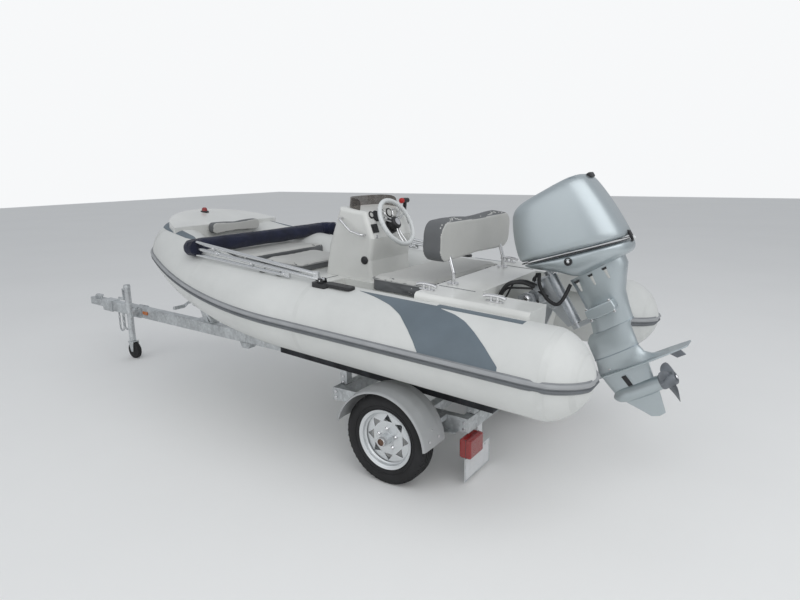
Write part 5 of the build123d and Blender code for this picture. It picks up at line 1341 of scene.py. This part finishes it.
def make_trailer_details():
    """Lamps, bunk sleeves, bolts, the plate's rim, the winch strap, the side marker and clamp bolts."""
    for side, word in SIDES:
        y = side * LAMP_Y
        lamp = box("lamp_" + word, (REAR_X - 40, y - 77, 168), (REAR_X + 30, y + 77, 276), floor_point,
                   RED_LENS, bevel=10)
        if side > 0:
            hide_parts("tail_lamps")
        box("lamp_seam_" + word, (REAR_X - 12, y - 77.6, 167.4), (REAR_X - 9, y + 77.6, 276.6),
            floor_point, BLACK_PLASTIC, bevel=1)
        outward = ACROSS * side
        y = side * BUNK_Y
        for k, x in enumerate(POSTS_X):
            box(f"bunk_sleeve_{word}_{k}", (x - 26, y - 26, 378), (x + 26, y + 26, 468), floor_point,
                GALVANISED, bevel=3)
        for k, x in enumerate(POSTS_X):
            for tag, dz in (("l", -18), ("u", 18)):
                bolt(f"rail_bolt_{word}_{k}_{tag}", floor_point(x, side * 501, 334 + dz), outward, 9)
                bolt(f"post_bolt_{word}_{k}_{tag}", floor_point(x, side * 426, 410 + dz), outward, 8)
    for k, y in enumerate((372 - 89, 372 + 89)):
        bolt(f"plate_screw_{k}", floor_point(REAR_X + 6.6, y, 146), Vector((-1, 0, 0)), 6)
    edge = [floor_point(REAR_X + 5.5, y, z) for y, z in PLATE_RIM]
    bar("plate_rim", edge + edge[:1], 2.2, GALVANISED, around=8, smooth_path=False)
    start, end = tongue(2420, 0, 265), boat(3335, 0, -118)
    strap = [strip(start.lerp(end, k / 4), 22, 1) for k in range(5)]
    loft("winch_strap", strap, STRAP_WEB, smooth=False)
    box("tongue_marker", (3140, 38.5, -8), (3215, 46, 22), tongue, AMBER_LENS, bevel=3)
    for k, (x, z) in enumerate(((-58, 38), (58, 38), (-58, -38), (58, -38))):
        bolt(f"clamp_bolt_{k}", floor_point(AXLE_X + 3310 + x, 46, 420 + z), ACROSS, 9)


# Castings on the tilting bracket: name, end, length and radius
CASTINGS = (("starter", (-70, -96, 40), 190, 34), ("damper", (-60, -80, -36), 160, 26),
            ("trim_motor", (-96, -74, -96), 148, 22))

# Hoses on the engine, then those from the boat to the engine: name, radius and route
LOOPS = (
    ("hose_loop", 10.0, ((-125, 98, 96), (-95, 96, 40), (-92, 94, -40), (-130, 104, -96), (-178, 96, -84),
                         (-236, 62, -34))),
    ("hose_short", 7.0, ((-110, 92, 100), (-72, 84, 64), (-66, 78, 10), (-100, 84, -40))),
    ("hose_cross", 5.0, ((-100, 70, 96), (-64, 72, 80), (-60, 76, 36), (-90, 84, 0))),
)
RIGGING = (
    ("hose_main", 11.0,
     ((640, 150, 60), (600, 190, 180), (545, 205, 270), (485, 165, 285), (430, 112, 262))),
    ("hose_fuel", 6.0,
     ((640, 120, 60), (610, 150, 160), (560, 180, 240), (490, 175, 255), (434, 118, 250))),
    ("hose_wire", 5.0,
     ((640, 100, 70), (580, 120, 190), (530, 145, 275), (475, 130, 290), (424, 92, 268))),
)


def make_bracket_details():
    """Tilt cylinder, transom bolts, castings and hoses between the boat and the engine."""
    foot = boat(500, 0, 60)
    turned("tilt_cylinder", ((0, 24), (4, 27), (120, 27), (126, 20), (126, 0.5)), foot,
           boat(460, 0, 160) - foot, BLACK_PLASTIC, around=28)
    for side, word in SIDES:
        outward = ACROSS * side
        for k, (x, z) in enumerate(((448, 120), (458, 60), (470, -20), (480, -80))):
            at = boat(x - 40 + (120 - z) * 0.2, side * 95, z) + outward * 0.009
            bolt(f"transom_bolt_{word}_{k}", at, outward, 11)
        turned("pivot_nut_" + word, ((0, 22), (10, 22), (12, 18), (16, 12), (16, 0.5)),
               boat(PIVOT[0], side * 118, PIVOT[2]), outward, STAINLESS, around=6)
    for name, (x, y, z), reach, radius in CASTINGS:
        profile = ((0, radius - 6), (3, radius), (reach - 12, radius), (reach - 8, radius - 7),
                   (reach, radius - 9), (reach, 0.5))
        turned(name, profile, engine(x, y, z), ACROSS, BRACKET_METAL, BRACKET_BODY, 32)
        for k, a in enumerate(turns(6)):
            at = engine(x + (radius - 9) * math.cos(a), y + reach - 8, z + (radius - 9) * math.sin(a))
            bolt(f"{name}_bolt_{k}", at, ACROSS, 5, BRACKET_BODY)
    for name, radius, route in LOOPS:
        bar(name, [engine(*p) for p in route], radius, HOSE_RUBBER, ENGINE_BODY, around=14, steps=10)
    for name, radius, route in RIGGING:
        path = [boat(*p) for p in route]
        hose = bar(name, path, radius, HOSE_RUBBER, None, around=14, steps=10)
        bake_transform(hose)


def make_floor():
    mesh = bpy.data.meshes.new("floor")
    mesh.from_pydata([(-30, -30, 0), (30, -30, 0), (30, 30, 0), (-30, 30, 0)], [], [(0, 1, 2, 3)])
    floor = bpy.data.objects.new("floor", mesh)
    SCENE.collection.objects.link(floor)
    mesh.materials.append(mottled("floor_paint", (0.86, 0.86, 0.85), 0.01, 0.5, 60.0, 0.0001, (0.8, 0.9)))


make_camera()
make_light()
dress_nodes()
for side, word in SIDES:
    make_tube(side, word)
    make_panels(side, word)
    make_seams(side, word)
    make_rail(side, word)
    make_tyre(side, word)
    make_wheel_details(side, word)
    make_fender(side, word)
make_cowl()
make_lower_cowl()
make_leg()
make_engine_details()
make_propeller()
make_cushions()
make_boot()
make_bimini_fittings()
make_helm()
make_console_details()
make_windscreen()
make_deck_details()
make_trailer_details()
make_bracket_details()
make_floor()
